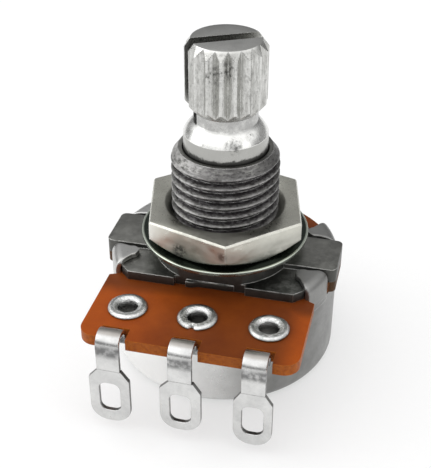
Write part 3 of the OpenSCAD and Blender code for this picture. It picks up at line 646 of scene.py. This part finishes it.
# Finishes
class Finish:
    """One procedural material, built step by step."""

    def __init__(self, name):
        self.material = bpy.data.materials.new(name)
        self.material.use_nodes = True
        self.tree = self.material.node_tree
        self.tree.nodes.clear()
        self.out = self.tree.nodes.new("ShaderNodeOutputMaterial")
        self.shader = self.tree.nodes.new("ShaderNodeBsdfPrincipled")
        self.wire(self.shader.outputs[0], self.out.inputs["Surface"])
        self.place = self.tree.nodes.new("ShaderNodeTexCoord").outputs["Object"]

    def wire(self, a, b):
        self.tree.links.new(a, b)

    def noise(self, size_mm, detail=4.0, rough=0.6, stretch=(1, 1, 1)):
        """Cloudy pattern from 0 to 1 with features of about size_mm."""
        mapping = self.tree.nodes.new("ShaderNodeMapping")
        mapping.inputs["Scale"].default_value = [s / (size_mm * MM) for s in stretch]
        self.wire(self.place, mapping.inputs["Vector"])
        n = self.tree.nodes.new("ShaderNodeTexNoise")
        n.inputs["Scale"].default_value = 1.0
        n.inputs["Detail"].default_value = detail
        n.inputs["Roughness"].default_value = rough
        self.wire(mapping.outputs[0], n.inputs["Vector"])
        return n.outputs[0]

    def ramp(self, value, *stops):
        """Goes straight from one (position, level) stop to the other."""
        n = self.tree.nodes.new("ShaderNodeValToRGB")
        for i, (at, level) in enumerate(stops):
            element = n.color_ramp.elements[i]
            element.position = at
            element.color = (level, level, level, 1.0)
        self.wire(value, n.inputs[0])
        return n.outputs[0]

    def mix(self, factor, a, b):
        """Blend of two colours; each is a socket or (red, green, blue)."""
        n = self.tree.nodes.new("ShaderNodeMix")
        n.data_type = "RGBA"
        for value, index in ((factor, 0), (a, 6), (b, 7)):
            if isinstance(value, tuple):
                n.inputs[index].default_value = (*value, 1.0)
            else:
                self.wire(value, n.inputs[index])
        return n.outputs[2]

    def math(self, operation, a, b=0.0, c=0.0, clamp=False):
        n = self.tree.nodes.new("ShaderNodeMath")
        n.operation = operation
        n.use_clamp = clamp
        for index, value in enumerate((a, b, c)):
            if isinstance(value, (int, float)):
                n.inputs[index].default_value = value
            else:
                self.wire(value, n.inputs[index])
        return n.outputs[0]

    def along(self, axis):
        """A coordinate in millimetres."""
        split = self.tree.nodes.new("ShaderNodeSeparateXYZ")
        self.wire(self.place, split.inputs[0])
        return self.math("MULTIPLY", split.outputs[axis], 1 / MM)

    def radius(self):
        """Distance from the shaft's axis in millimetres."""
        return self.length(self.along("X"), self.along("Y"))

    def length(self, a, b):
        """Length of a flat vector."""
        return self.math("SQRT", self.math("ADD", self.math("MULTIPLY", a, a), self.math("MULTIPLY", b, b)))

    def step(self, value, start, end):
        """0 before start, 1 after end, smooth between."""
        n = self.tree.nodes.new("ShaderNodeMapRange")
        n.interpolation_type = "SMOOTHSTEP"
        self.wire(value, n.inputs["Value"])
        n.inputs["From Min"].default_value = start
        n.inputs["From Max"].default_value = end
        return n.outputs[0]

    def spot(self, at, inner, outer):
        """1 near a place in millimetres, 0 far from it."""
        n = self.tree.nodes.new("ShaderNodeVectorMath")
        n.operation = "DISTANCE"
        self.wire(self.place, n.inputs[0])
        n.inputs[1].default_value = [c * MM for c in at]
        return self.step(self.math("MULTIPLY", n.outputs["Value"], 1 / MM), outer, inner)

    def facing(self, axis):
        """1 where the surface faces along an axis, either way, 0 where it is side-on."""
        split = self.tree.nodes.new("ShaderNodeSeparateXYZ")
        texture = self.tree.nodes.new("ShaderNodeTexCoord")
        self.wire(texture.outputs["Normal"], split.inputs[0])
        return self.math("ABSOLUTE", split.outputs[axis])

    def both(self, *masks):
        """1 only where all the masks are 1."""
        out = masks[0]
        for m in masks[1:]:
            out = self.math("MULTIPLY", out, m)
        return out

    def edges(self, radius_mm):
        """Normal rounded at the edges, and a mask that is 1 on edges."""
        bevel = self.tree.nodes.new("ShaderNodeBevel")
        bevel.samples = 4
        bevel.inputs["Radius"].default_value = radius_mm * MM
        geo = self.tree.nodes.new("ShaderNodeNewGeometry")
        dot = self.tree.nodes.new("ShaderNodeVectorMath")
        dot.operation = "DOT_PRODUCT"
        self.wire(bevel.outputs[0], dot.inputs[0])
        self.wire(geo.outputs["Normal"], dot.inputs[1])
        mask = self.math("SUBTRACT", 1.0, dot.outputs["Value"], clamp=True)
        return bevel.outputs[0], self.math("MULTIPLY", mask, 6.0, clamp=True)

    def bump(self, height, depth_mm, normal=None):
        n = self.tree.nodes.new("ShaderNodeBump")
        n.inputs["Distance"].default_value = depth_mm * MM
        self.wire(height, n.inputs["Height"])
        if normal is not None:
            self.wire(normal, n.inputs["Normal"])
        return n.outputs[0]

    def set(self, **values):
        for key, value in values.items():
            socket = self.shader.inputs[key.replace("_", " ")]
            if isinstance(value, float):
                socket.default_value = value
            else:
                self.wire(value, socket)


def metal(name, dark, light, rough, grain_mm=0.5, bump_mm=0.002, edge_mm=0.03, worn_edge_highlight_colour=None,
          stretch=(1, 1, 1), stain=None):
    """Metal with cloudy tarnish and a fine bump, and bright edges, part wear and part painted highlight, if
    an edge colour is given.
    stain(f) gives rows of (mask, strength, colour), laid over each other in their order."""
    f = Finish(name)
    clouds = f.noise(grain_mm * 4, 5.0, 0.65)
    fine = f.noise(grain_mm * 0.35, 3.0, 0.6, stretch)
    colour = f.mix(f.ramp(clouds, (0.35, 0.0), (0.65, 1.0)), dark, light)
    normal, edge = f.edges(edge_mm)
    spread = f.math("MULTIPLY_ADD", fine, rough * 0.8, rough * 0.6)
    for mask, strength, shade_colour in stain(f) if stain else ():
        mask = f.math("MULTIPLY", mask, strength)
        colour = f.mix(mask, colour, shade_colour)
        spread = f.math("MULTIPLY_ADD", mask, 0.15, spread)
    # Bright edges in patches: worn metal, and a painted highlight along the edges.
    if worn_edge_highlight_colour:
        worn = f.step(f.noise(grain_mm * 2, 4.0, 0.7), 0.28, 0.58)
        colour = f.mix(f.both(edge, worn), colour, worn_edge_highlight_colour)
    f.set(Base_Color=colour, Metallic=1.0, Roughness=spread, Normal=f.bump(fine, bump_mm, normal))
    return f.material


# Places in millimetres of the shaft's dark marks, each with its full and its outer radius: smudges on the
# head, and two marks on the flare that are part smudge, part painted reflection of a dark figure in front
SMUDGES_AND_FLARE_REFLECTION = [
    ((-0.21, -2.69, 13.3), 0.35, 0.95), ((0.70, -2.61, 13.7), 0.35, 0.90), ((2.0, -1.8, 13.2), 0.15, 0.6),
    ((2.1, -1.7, 11.8), 0.15, 0.6), ((1.15, -2.66, 8.42), 0.30, 0.80), ((2.03, -1.62, 8.75), 0.12, 0.45)]


def shaft_stains(f):
    """Dull flanks under bright crests, dark smudges on the head, dark marks on the flare that are part
    smudge and part painted reflection, grime at the bushing.
    """
    z, r = f.along("Z"), f.radius()
    head = f.both(f.step(z, 9.95, 10.1), f.step(z, 14.95, 14.8))
    streak = f.ramp(f.noise(0.16, 5.0, 0.75, (1, 1, 0.10)), (0.38, 0.10), (0.60, 0.95))
    flank = f.both(f.step(r, 2.835, 2.79), head, streak)
    pits = f.both(head, f.ramp(f.noise(0.14, 4.0, 0.8, (1, 1, 0.5)), (0.53, 0.0), (0.64, 1.0)))
    speck = f.ramp(f.noise(0.30, 6.0, 0.75), (0.47, 0.0), (0.60, 1.0))
    # Dark marks: smudges on the head; on the flare, part smudge and part painted reflection.
    marks = f.spot(*SMUDGES_AND_FLARE_REFLECTION[0])
    for smudge in SMUDGES_AND_FLARE_REFLECTION[1:]:
        marks = f.math("MAXIMUM", marks, f.spot(*smudge))
    cloudy = f.both(head, f.ramp(f.noise(0.40, 6.0, 0.78, (1, 1, 0.6)), (0.48, 0.0), (0.62, 1.0)))
    collar = f.both(f.step(z, 8.19, 8.14), f.step(r, 2.9, 2.95))
    ragged = f.math("MULTIPLY_ADD", f.noise(0.45, 6.0, 0.75), -0.9, z)
    soot = f.step(ragged, 6.93, 6.78)
    neck = f.both(f.step(z, 8.9, 9.15), f.step(z, 10.05, 9.9), f.step(f.noise(0.5, 5.0, 0.7), 0.2, 0.6))
    flare = f.both(f.step(z, 8.14, 8.2), f.step(z, 9.3, 8.9),
                   f.step(f.noise(0.4, 5.0, 0.7, (1, 1, 0.6)), 0.25, 0.55))
    return [(flank, 1.0, (0.50, 0.50, 0.48)),
            (pits, 0.40, (0.12, 0.12, 0.11)),
            (flare, 0.60, (0.97, 0.97, 0.95)),
            (collar, 0.75, (0.36, 0.36, 0.34)),
            (neck, 0.75, (0.36, 0.36, 0.355)),
            (cloudy, 0.22, (0.14, 0.14, 0.13)),
            (f.both(marks, speck), 0.80, (0.07, 0.07, 0.065)),
            (soot, 0.85, (0.05, 0.05, 0.048))]


def plate_stains(f):
    """Thread: bright crests, dark roots and a coarse sparkle; painted shade makes it darker to the right,
    where it is also tarnished, and its rim is rubbed, with a painted highlight on the left. Casting: pale
    cloudy patches, painted shade on its sides, and painted shade in front towards the right."""
    x, z, r = f.along("X"), f.along("Z"), f.radius()
    thread = f.both(f.step(z, 0.3, 0.6), f.step(r, 3.2, 3.4))
    crest = f.both(thread, f.step(r, 3.80, 3.87), f.ramp(f.noise(0.5, 4.0, 0.6), (0.35, 0.2), (0.6, 1.0)))
    root = f.both(thread, f.step(r, 3.85, 3.62), f.step(z, 6.6, 6.3))
    grain = f.both(thread, f.ramp(f.noise(0.34, 5.0, 0.72, (1, 1, 3.5)), (0.48, 0.0), (0.60, 1.0)))
    pores = f.both(thread, f.ramp(f.noise(0.42, 5.0, 0.72, (1, 1, 3.0)), (0.50, 0.0), (0.60, 1.0)))
    # Rubbed rim in patches, with a painted highlight on the left.
    rim = f.both(thread, f.step(z, 6.05, 6.35), f.step(f.noise(0.7, 5.0, 0.7, (1, 1, 2)), 0.36, 0.58))
    rim = f.both(rim, f.step(x, 1.0, -2.6))
    casting = f.step(z, 0.05, -0.05)
    # Painted shade: the casting darker in front and towards the right.
    shaded = f.both(casting, f.step(x, -14.0, 5.0), f.step(f.along("Y"), 1.5, -4.5))
    # Painted shade: the thread darker towards the right.
    painted_dimming = f.both(thread, f.step(z, 6.2, 5.9), f.step(x, -3.6, 0.0))
    # Tarnish in patches, laid on the right as painted shade.
    tarnish_and_painted_shade = f.both(thread, f.step(z, 5.95, 6.2), f.step(x, -3.2, 0.2),
                     f.step(f.noise(0.5, 5.0, 0.7, (1, 1, 3)), 0.30, 0.55))
    # Painted shade on the casting's side faces.
    painted_wall_shade = f.both(casting, f.step(f.facing("Z"), 0.5, 0.2))
    cast = f.both(casting, f.ramp(f.noise(0.8, 6.0, 0.75), (0.46, 0.0), (0.62, 1.0)))
    return [(root, 0.92, (0.028, 0.024, 0.026)),
            (crest, 0.62, (0.60, 0.59, 0.60)),
            (grain, 0.35, (0.46, 0.45, 0.46)),
            (pores, 0.72, (0.025, 0.023, 0.024)),
            (rim, 0.65, (0.62, 0.61, 0.60)),
            (shaded, 0.88, (0.035, 0.037, 0.033)),
            (tarnish_and_painted_shade, 0.62, (0.10, 0.095, 0.097)),
            (painted_dimming, 0.38, (0.03, 0.026, 0.028)),
            (cast, 0.28, (0.36, 0.36, 0.34)),
            (painted_wall_shade, 0.7, (0.085, 0.085, 0.08))]


def nut_stains(f):
    """Dark countersink in patches, painted shade in patches on the underside, a dark dent on one flat, a
    brown mark at a corner. Painted highlight makes the flats brighter on the left and the top paler at the
    front; painted shade makes the flats duller towards the middle."""
    x, z, up = f.along("X"), f.along("Z"), f.facing("Z")
    # Painted shade, in patches, on the lower part and underside.
    under = f.both(f.step(z, 1.2, 0.9), f.step(f.noise(0.5, 3.0, 0.5), 0.2, 0.5))
    mouth = f.both(f.step(f.radius(), 4.50, 4.28), f.step(f.noise(0.3, 4.0, 0.6), 0.15, 0.4))
    dent = f.both(f.spot((-2.12, -5.0, 0.95), 0.30, 0.75), f.step(f.noise(0.25, 4.0, 0.6), 0.36, 0.55))
    haze = f.both(f.spot((-1.5, -5.3, 1.1), 0.5, 2.0), f.step(f.noise(0.9, 4.0, 0.6), 0.15, 0.55))
    rust = f.both(f.spot((1.15, -5.98, 1.60), 0.12, 0.50), f.step(f.noise(0.2, 3.0, 0.6), 0.3, 0.5))
    flat = f.step(up, 0.5, 0.3)
    # Painted highlight: the flats brighter on the left.
    painted_gleam = f.both(flat, f.step(x, -3.2, -5.0))
    # Painted shade: the flats duller towards the middle, lower down.
    painted_dull_shade = f.both(flat, f.step(x, -4.0, -2.0), f.step(z, 2.2, 1.4))
    # Painted highlight: the top paler at the front.
    front = f.both(f.step(up, 0.85, 0.95), f.step(f.along("Y"), -3.8, -4.8))
    return [(painted_gleam, 0.70, (0.97, 0.97, 0.93)),
            (painted_dull_shade, 0.35, (0.36, 0.36, 0.33)),
            (front, 0.80, (0.88, 0.87, 0.78)),
            (under, 0.25, (0.10, 0.10, 0.09)),
            (mouth, 0.42, (0.06, 0.06, 0.05)),
            (haze, 0.55, (0.20, 0.21, 0.17)),
            (dent, 0.85, (0.05, 0.05, 0.045)),
            (rust, 0.75, (0.10, 0.045, 0.03))]


def washer_stains(f):
    """Dark film on the washer's top under the nut: painted shadow and dark reflection of the nut; the rim
    outside it stays bright and its side is dull.
    """
    # Painted shadow and dark reflection under the nut, on the washer's top.
    painted_nut_shadow = f.both(f.step(f.radius(), 6.06, 5.96), f.step(f.along("Z"), 0.2, 0.28))
    side = f.step(f.facing("Z"), 0.5, 0.2)
    return [(painted_nut_shadow, 0.97, (0.012, 0.020, 0.015)),
            (side, 0.85, (0.15, 0.16, 0.14))]


def eyelet_stains(f):
    """Dark inside of the barrels, grime in a ring on the flange, and painted shade on the brim round it,
    where the flange meets the board.
    """
    x, y, z = f.along("X"), f.along("Y"), f.along("Z")
    column = f.math("MULTIPLY", f.math("ROUND", f.math("DIVIDE", x, TERMINAL_PITCH)), TERMINAL_PITCH)
    away = f.length(f.math("SUBTRACT", x, column), f.math("SUBTRACT", y, EYELET_ROW))
    inside = f.both(f.step(away, 0.80, 0.72), f.step(z, -2.05, -2.45))
    dirt = f.step(f.noise(0.35, 5.0, 0.7), 0.30, 0.55)
    ring = f.both(f.step(away, 0.96, 1.06), f.step(away, 1.26, 1.16), dirt)
    # Painted shade on the flange's outer foot, next to the board.
    painted_brim_shade = f.both(f.step(away, 1.34, 1.40), f.step(z, -1.55, -1.70))
    return [(inside, 0.93, (0.03, 0.03, 0.025)),
            (ring, 0.62, (0.10, 0.11, 0.10)),
            (painted_brim_shade, 0.7, (0.12, 0.12, 0.11))]


def lug_stains(f):
    """Painted dark reflections: a band under the arch and a darker crown on it; and dark sheared edges of
    the lugs and holes.
    """
    z = f.along("Z")
    # Painted dark reflection, in patches, in a band under the arch.
    painted_reflection_band = f.both(f.step(z, -3.5, -3.0), f.step(z, -2.2, -2.6), f.step(f.noise(0.5, 4.0, 0.6), 0.2, 0.6))
    sheared = f.both(f.step(f.facing("Y"), 0.65, 0.35), f.step(z, -3.0, -3.4))
    # Painted dark reflection on the arch's upward-facing crown.
    painted_dark_crown = f.both(f.step(z, -1.95, -1.72), f.step(f.facing("Z"), 0.80, 0.95))
    return [(painted_reflection_band, 0.90, (0.15, 0.15, 0.15)),
            (painted_dark_crown, 0.7, (0.32, 0.29, 0.26)),
            (sheared, 0.8, (0.07, 0.07, 0.065))]


def cover_stains(f):
    """A painted highlight makes the cup's front bright on the left; painted shade makes the cup darker to
    the right and at its front foot, next to the floor, and the tabs are a little dull."""
    x, z = f.along("X"), f.along("Z")
    front = f.step(f.along("Y"), 1.0, -2.0)
    blotch = f.noise(2.2, 4.0, 0.6)
    # Painted highlight: the cup's front brighter on the left, in blotches.
    left = f.both(f.step(x, 3.5, -4.0), front, f.step(z, -2.85, -3.05),
                  f.math("MULTIPLY_ADD", blotch, 0.3, 0.75))
    # Painted shade: the cup darker towards the right, in blotches.
    right = f.both(f.step(x, 0.5, 5.5), f.math("MULTIPLY_ADD", blotch, 0.5, 0.60))
    tabs = f.step(z, -2.95, -2.75)
    # Painted shade at the cup's front foot, next to the floor.
    foot = f.both(f.step(z, -9.25, -9.55), front)
    return [(left, 1.0, (0.98, 0.98, 0.97)),
            (right, 0.94, (0.15, 0.15, 0.145)),
            (tabs, 0.35, (0.36, 0.36, 0.35)),
            (foot, 0.75, (0.26, 0.29, 0.26))]


def laminate(name):
    """Brown paper laminate: mottled face, painted shadow in its middle and under the plate, bright sheared
    edges with fibres and a painted highlight along them, painted shade on the ears."""
    f = Finish(name)
    x, y = f.along("X"), f.along("Y")
    clouds = f.ramp(f.noise(2.5, 5.0, 0.6), (0.3, 0.0), (0.7, 1.0))
    fibre = f.noise(0.12, 3.0, 0.7, (1, 1, 3))
    warm = f.mix(clouds, (0.31, 0.055, 0.004), (0.41, 0.080, 0.005))
    laminate_in_painted_shade = f.mix(clouds, (0.12, 0.024, 0.003), (0.18, 0.040, 0.004))
    ragged = f.noise(0.3, 5.0, 0.75)
    sheared = f.mix(f.ramp(ragged, (0.30, 0.0), (0.70, 1.0)), (0.20, 0.042, 0.004), (0.46, 0.13, 0.012))
    # Painted shadow of the plate: darker in the middle and under the plate.
    painted_dimming = f.both(f.step(x, -7.0, 1.5), f.step(x, 7.6, 5.6))
    colour = f.mix(f.math("MAXIMUM", painted_dimming, f.step(y, -7.2, -5.5)), warm, laminate_in_painted_shade)
    colour = f.mix(f.math("MULTIPLY", fibre, 0.30), colour, (0.12, 0.03, 0.01))
    side = f.step(f.facing("Z"), 0.5, 0.1)
    normal, edge = f.edges(0.05)
    colour = f.mix(f.math("MULTIPLY", side, 0.75), colour, sheared)
    # Painted highlight along the edges.
    colour = f.mix(f.math("MULTIPLY", edge, 0.45), colour, (0.72, 0.24, 0.02))
    # Painted shade on the ears, under the plate's ears.
    ears = f.both(f.step(f.math("ABSOLUTE", x), 7.9, 8.3), f.step(y, -3.0, -2.2))
    colour = f.mix(f.math("MULTIPLY", ears, 0.85), colour, (0.035, 0.030, 0.018))
    rough = f.math("MULTIPLY_ADD", fibre, 0.2, 0.32)
    relief = f.math("ADD", f.math("MULTIPLY", fibre, 0.1), f.math("MULTIPLY", ragged, side))
    f.set(Base_Color=colour, Roughness=rough, Normal=f.bump(relief, 0.06, normal), Specular_IOR_Level=0.14)
    return f.material


def matte(name, dark, light, rough, grain_mm):
    """Dull surface with a fine grain, for printed films and mouldings."""
    f = Finish(name)
    grain = f.noise(grain_mm, 4.0, 0.6)
    f.set(Base_Color=f.mix(grain, dark, light), Roughness=f.math("MULTIPLY_ADD", grain, 0.2, rough),
          Normal=f.bump(grain, 0.003))
    return f.material


METALS = {
    "shaft_metal": dict(
        dark=(0.58, 0.58, 0.56), light=(0.72, 0.72, 0.70), rough=0.18, grain_mm=0.6, bump_mm=0.006,
        edge_mm=0.02, worn_edge_highlight_colour=(0.95, 0.95, 0.94), stretch=(1, 1, 0.35), stain=shaft_stains),
    "plate_zinc": dict(
        dark=(0.17, 0.17, 0.16), light=(0.29, 0.29, 0.27), rough=0.32, grain_mm=0.5, bump_mm=0.012,
        edge_mm=0.09, worn_edge_highlight_colour=(0.70, 0.70, 0.68), stain=plate_stains),
    "nut_plating": dict(
        dark=(0.51, 0.505, 0.45), light=(0.64, 0.635, 0.57), rough=0.30, grain_mm=0.7, bump_mm=0.005,
        edge_mm=0.07, worn_edge_highlight_colour=(0.97, 0.97, 0.94), stain=nut_stains),
    "washer_steel": dict(
        dark=(0.55, 0.60, 0.52), light=(0.70, 0.75, 0.66), rough=0.14, grain_mm=0.7, bump_mm=0.001,
        edge_mm=0.04, worn_edge_highlight_colour=(0.85, 0.92, 0.82), stain=washer_stains),
    "spring_steel": dict(dark=(0.25, 0.25, 0.26), light=(0.35, 0.35, 0.36), rough=0.3),
    "cover_steel": dict(
        dark=(0.58, 0.58, 0.57), light=(0.70, 0.70, 0.69), rough=0.26, grain_mm=0.6, bump_mm=0.0015,
        edge_mm=0.05, worn_edge_highlight_colour=(0.90, 0.90, 0.89), stain=cover_stains),
    "eyelet_metal": dict(
        dark=(0.50, 0.51, 0.50), light=(0.92, 0.92, 0.91), rough=0.10, grain_mm=0.25, bump_mm=0.05,
        edge_mm=0.03, stain=eyelet_stains),
    "lug_metal": dict(
        dark=(0.56, 0.56, 0.555), light=(0.72, 0.72, 0.71), rough=0.24, grain_mm=0.4, bump_mm=0.005,
        edge_mm=0.04, stain=lug_stains),
    "silver_film": dict(dark=(0.65, 0.65, 0.62), light=(0.75, 0.75, 0.72), rough=0.4),
    "wiper_bronze": dict(dark=(0.55, 0.36, 0.14), light=(0.68, 0.46, 0.20), rough=0.25),
}
FINISHES = {name: metal(name, **values) for name, values in METALS.items()}
FINISHES["board_laminate"] = laminate("board_laminate")
FINISHES["carbon_film"] = matte("carbon_film", (0.010, 0.010, 0.010), (0.035, 0.035, 0.035), 0.5, 0.1)
FINISHES["rotor_plastic"] = matte("rotor_plastic", (0.62, 0.58, 0.48), (0.72, 0.68, 0.58), 0.45, 0.3)


# Putting it together
def dress(obj, body, slot, *nodes):
    """Gives a detailed piece its finish and lets it stand for CAD nodes."""
    obj.data.materials.clear()
    obj.data.materials.append(FINISHES[slot])
    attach(obj, body)
    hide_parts(*nodes)


def keep(name, slot):
    """Shows a CAD node as it is, with its finish."""
    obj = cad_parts[name]
    obj.data.materials.clear()
    obj.data.materials.append(FINISHES[slot])


# For each terminal: its column, the split of its eyelet in degrees, and the lug's width, lean and trim
TERMINALS = {
    "left": (-TERMINAL_PITCH, None, (2.90, -0.05, 0.0)),
    "centre": (0.0, 266, (2.90, -0.10, 0.25)),
    "right": (TERMINAL_PITCH, None, (2.68, 0.0, 0.0)),
}
INNER_SLOTS = {
    "retaining_clip": "spring_steel", "resistive_track": "carbon_film",
    "end_contact_left": "silver_film", "end_contact_right": "silver_film", "collector_ring": "silver_film",
    "rotor": "rotor_plastic", "wiper_contact": "wiper_bronze",
}


def build_object():
    dress(make_shaft(), "spindle", "shaft_metal", "shaft")
    dress(make_plate(), "housing", "plate_zinc", "mounting_plate")
    dress(make_nut(), "housing", "nut_plating", "hex_nut")
    dress(make_washer(), "housing", "washer_steel", "flat_washer")
    dress(make_cover(), "housing", "cover_steel", "rear_cover")
    dress(make_board(), "housing", "board_laminate", "terminal_board")
    for side, (x, split, lug) in TERMINALS.items():
        dress(make_eyelet("rolled_" + side, x, split), "housing", "eyelet_metal", "eyelet_" + side)
        dress(make_terminal("stamped_" + side, x, lug), "housing", "lug_metal", "terminal_" + side)
    for name, slot in INNER_SLOTS.items():
        keep(name, slot)


# Light and camera
TENT_LIGHT, ROOM_LIGHT, WHITE_SHARE, FLOOR_HALF = 1.15, 0.27, 0.5, 400.0
WATCHER_TURN, WATCHER_RISE, WATCHER_OUTER, WATCHER_INNER, WATCHER_DARK = 36.0, 29.0, 17, 9, 0.16
CAMERA_TURN, CAMERA_RISE, CAMERA_ROLL = 13.505, 33.342, 0.135
CAMERA_PLACE = (13.314, -58.461, 38.963)
SENSOR, FOCAL_PIXELS, PHOTO_PIXELS = 36.0, 961.528, 468.0


def area(name, at, width, height, power):
    """Softbox at a place in millimetres, aimed at the origin."""
    light = bpy.data.lights.new(name, "AREA")
    light.shape = "RECTANGLE"
    light.size, light.size_y = width * MM, height * MM
    light.energy = power
    obj = bpy.data.objects.new(name, light)
    bpy.context.scene.collection.objects.link(obj)
    obj.location = Vector(at) * MM
    obj.rotation_euler = (-Vector(at)).to_track_quat("-Z", "Y").to_euler()


def pointing(turn_deg, rise_deg):
    """Unit vector turned from -Y towards +X, and raised."""
    turn, rise = math.radians(turn_deg), math.radians(rise_deg)
    return Vector((math.sin(turn) * math.cos(rise), -math.cos(turn) * math.cos(rise), math.sin(rise)))


class Sky:
    """The room around the object, built from simple shapes of light and dark."""

    def __init__(self):
        world = bpy.data.worlds.new("room")
        bpy.context.scene.world = world
        world.use_nodes = True
        self.tree = world.node_tree
        self.tree.nodes.clear()
        self.direction = self.node("ShaderNodeTexCoord").outputs["Generated"]
        self.split = self.node("ShaderNodeSeparateXYZ")
        self.wire(self.direction, self.split.inputs[0])

    def node(self, kind):
        return self.tree.nodes.new(kind)

    def wire(self, a, b):
        self.tree.links.new(a, b)

    def fade(self, value, start, end, low, high):
        """Goes smoothly from low to high while value goes from start to end."""
        n = self.node("ShaderNodeMapRange")
        n.interpolation_type = "SMOOTHSTEP"
        self.wire(value, n.inputs["Value"])
        for key, number in (("From Min", start), ("From Max", end), ("To Min", low), ("To Max", high)):
            n.inputs[key].default_value = number
        return n.outputs[0]

    def combine(self, operation, a, b):
        n = self.node("ShaderNodeMath")
        n.operation = operation
        for index, value in enumerate((a, b)):
            if isinstance(value, (int, float)):
                n.inputs[index].default_value = value
            else:
                self.wire(value, n.inputs[index])
        return n.outputs[0]

    def towards(self, turn_deg, rise_deg):
        """How far a direction agrees with one that is turned from -Y towards +X, and raised."""
        n = self.node("ShaderNodeVectorMath")
        n.operation = "DOT_PRODUCT"
        self.wire(self.direction, n.inputs[0])
        n.inputs[1].default_value = pointing(turn_deg, rise_deg)
        return n.outputs["Value"]


def light_world():
    """White behind the object. As light and in reflections: a pale tent, dim behind and at eye level, with
    one dark round patch in front on the right, as if someone stood there."""
    sky = Sky()
    x, y, z = (sky.split.outputs[i] for i in range(3))
    tent = sky.fade(z, 0.18, 0.55, 0.0, 1.0)
    tent = sky.combine("MULTIPLY", tent, sky.fade(y, 0.25, 0.80, 1.0, 0.09))
    tent = sky.combine("MULTIPLY", tent, sky.fade(x, -0.7, 0.9, 1.12, 0.80))
    outer, inner = (math.cos(math.radians(a)) for a in (WATCHER_OUTER, WATCHER_INNER))
    watcher = sky.fade(sky.towards(WATCHER_TURN, WATCHER_RISE), outer, inner, 1.0, WATCHER_DARK)
    tent = sky.combine("MULTIPLY", tent, watcher)
    glow = sky.combine("ADD", sky.combine("MULTIPLY", tent, TENT_LIGHT), ROOM_LIGHT)
    room, white = sky.node("ShaderNodeBackground"), sky.node("ShaderNodeBackground")
    sky.wire(glow, room.inputs["Strength"])
    room.inputs["Color"].default_value = (1, 1, 1, 1)
    white.inputs["Color"].default_value = (1, 1, 1, 1)
    path, mix, out = (sky.node("ShaderNode" + kind) for kind in ("LightPath", "MixShader", "OutputWorld"))
    sky.wire(path.outputs["Is Camera Ray"], mix.inputs[0])
    sky.wire(room.outputs[0], mix.inputs[1])
    sky.wire(white.outputs[0], mix.inputs[2])
    sky.wire(mix.outputs[0], out.inputs[0])


def floor_finish():
    """Pale paper with a faint tooth. Seen directly or mirrored, a share of it is plain white."""
    f = Finish("paper")
    tooth = f.noise(0.4, 3.0, 0.6)
    paper = f.mix(tooth, (0.93, 0.93, 0.93), (0.97, 0.97, 0.97))
    f.set(Base_Color=paper, Roughness=0.9, Specular_IOR_Level=0.1)
    kinds = ("LightPath", "Emission", "MixShader")
    path, white, blend = (f.tree.nodes.new("ShaderNode" + kind) for kind in kinds)
    seen = f.math("ADD", path.outputs["Is Camera Ray"], path.outputs["Is Glossy Ray"])
    f.wire(f.math("MULTIPLY", seen, WHITE_SHARE), blend.inputs["Fac"])
    f.wire(f.shader.outputs[0], blend.inputs[1])
    f.wire(white.outputs[0], blend.inputs[2])
    f.wire(blend.outputs[0], f.out.inputs["Surface"])
    return f.material


def make_floor():
    corner_signs = ((-1, -1), (1, -1), (1, 1), (-1, 1))
    points = [(sx * FLOOR_HALF, sy * FLOOR_HALF, BACK_Z) for sx, sy in corner_signs]
    floor = mesh_object("paper_floor", points, [[0, 1, 2, 3]])
    floor.data.materials.append(floor_finish())


def set_camera():
    """The photo's viewpoint, found by fitting the object's known points."""
    turn, roll = math.radians(CAMERA_TURN), math.radians(CAMERA_ROLL)
    back = pointing(CAMERA_TURN, CAMERA_RISE)
    right = Vector((math.cos(turn), math.sin(turn), 0))
    up = back.cross(right)
    side = right * math.cos(roll) + up * math.sin(roll)
    top = up * math.cos(roll) - right * math.sin(roll)
    data = bpy.data.cameras.new("photo_camera")
    data.sensor_width = SENSOR
    data.lens = SENSOR * FOCAL_PIXELS / PHOTO_PIXELS
    data.clip_start = 0.005
    data.clip_end = 5.0
    camera = bpy.data.objects.new("photo_camera", data)
    bpy.context.scene.collection.objects.link(camera)
    spot = Vector(CAMERA_PLACE) * MM
    camera.matrix_world = Matrix((
        (side.x, top.x, back.x, spot.x), (side.y, top.y, back.y, spot.y),
        (side.z, top.z, back.z, spot.z), (0, 0, 0, 1)))
    bpy.context.scene.camera = camera


def light_object():
    area("left_box", (-220, -60, 90), 160, 200, 0.12)
    area("right_box", (220, -90, 60), 120, 160, 0.04)


bpy.context.scene.view_settings.view_transform = "Standard"
build_object()
make_floor()
light_world()
light_object()
set_camera()
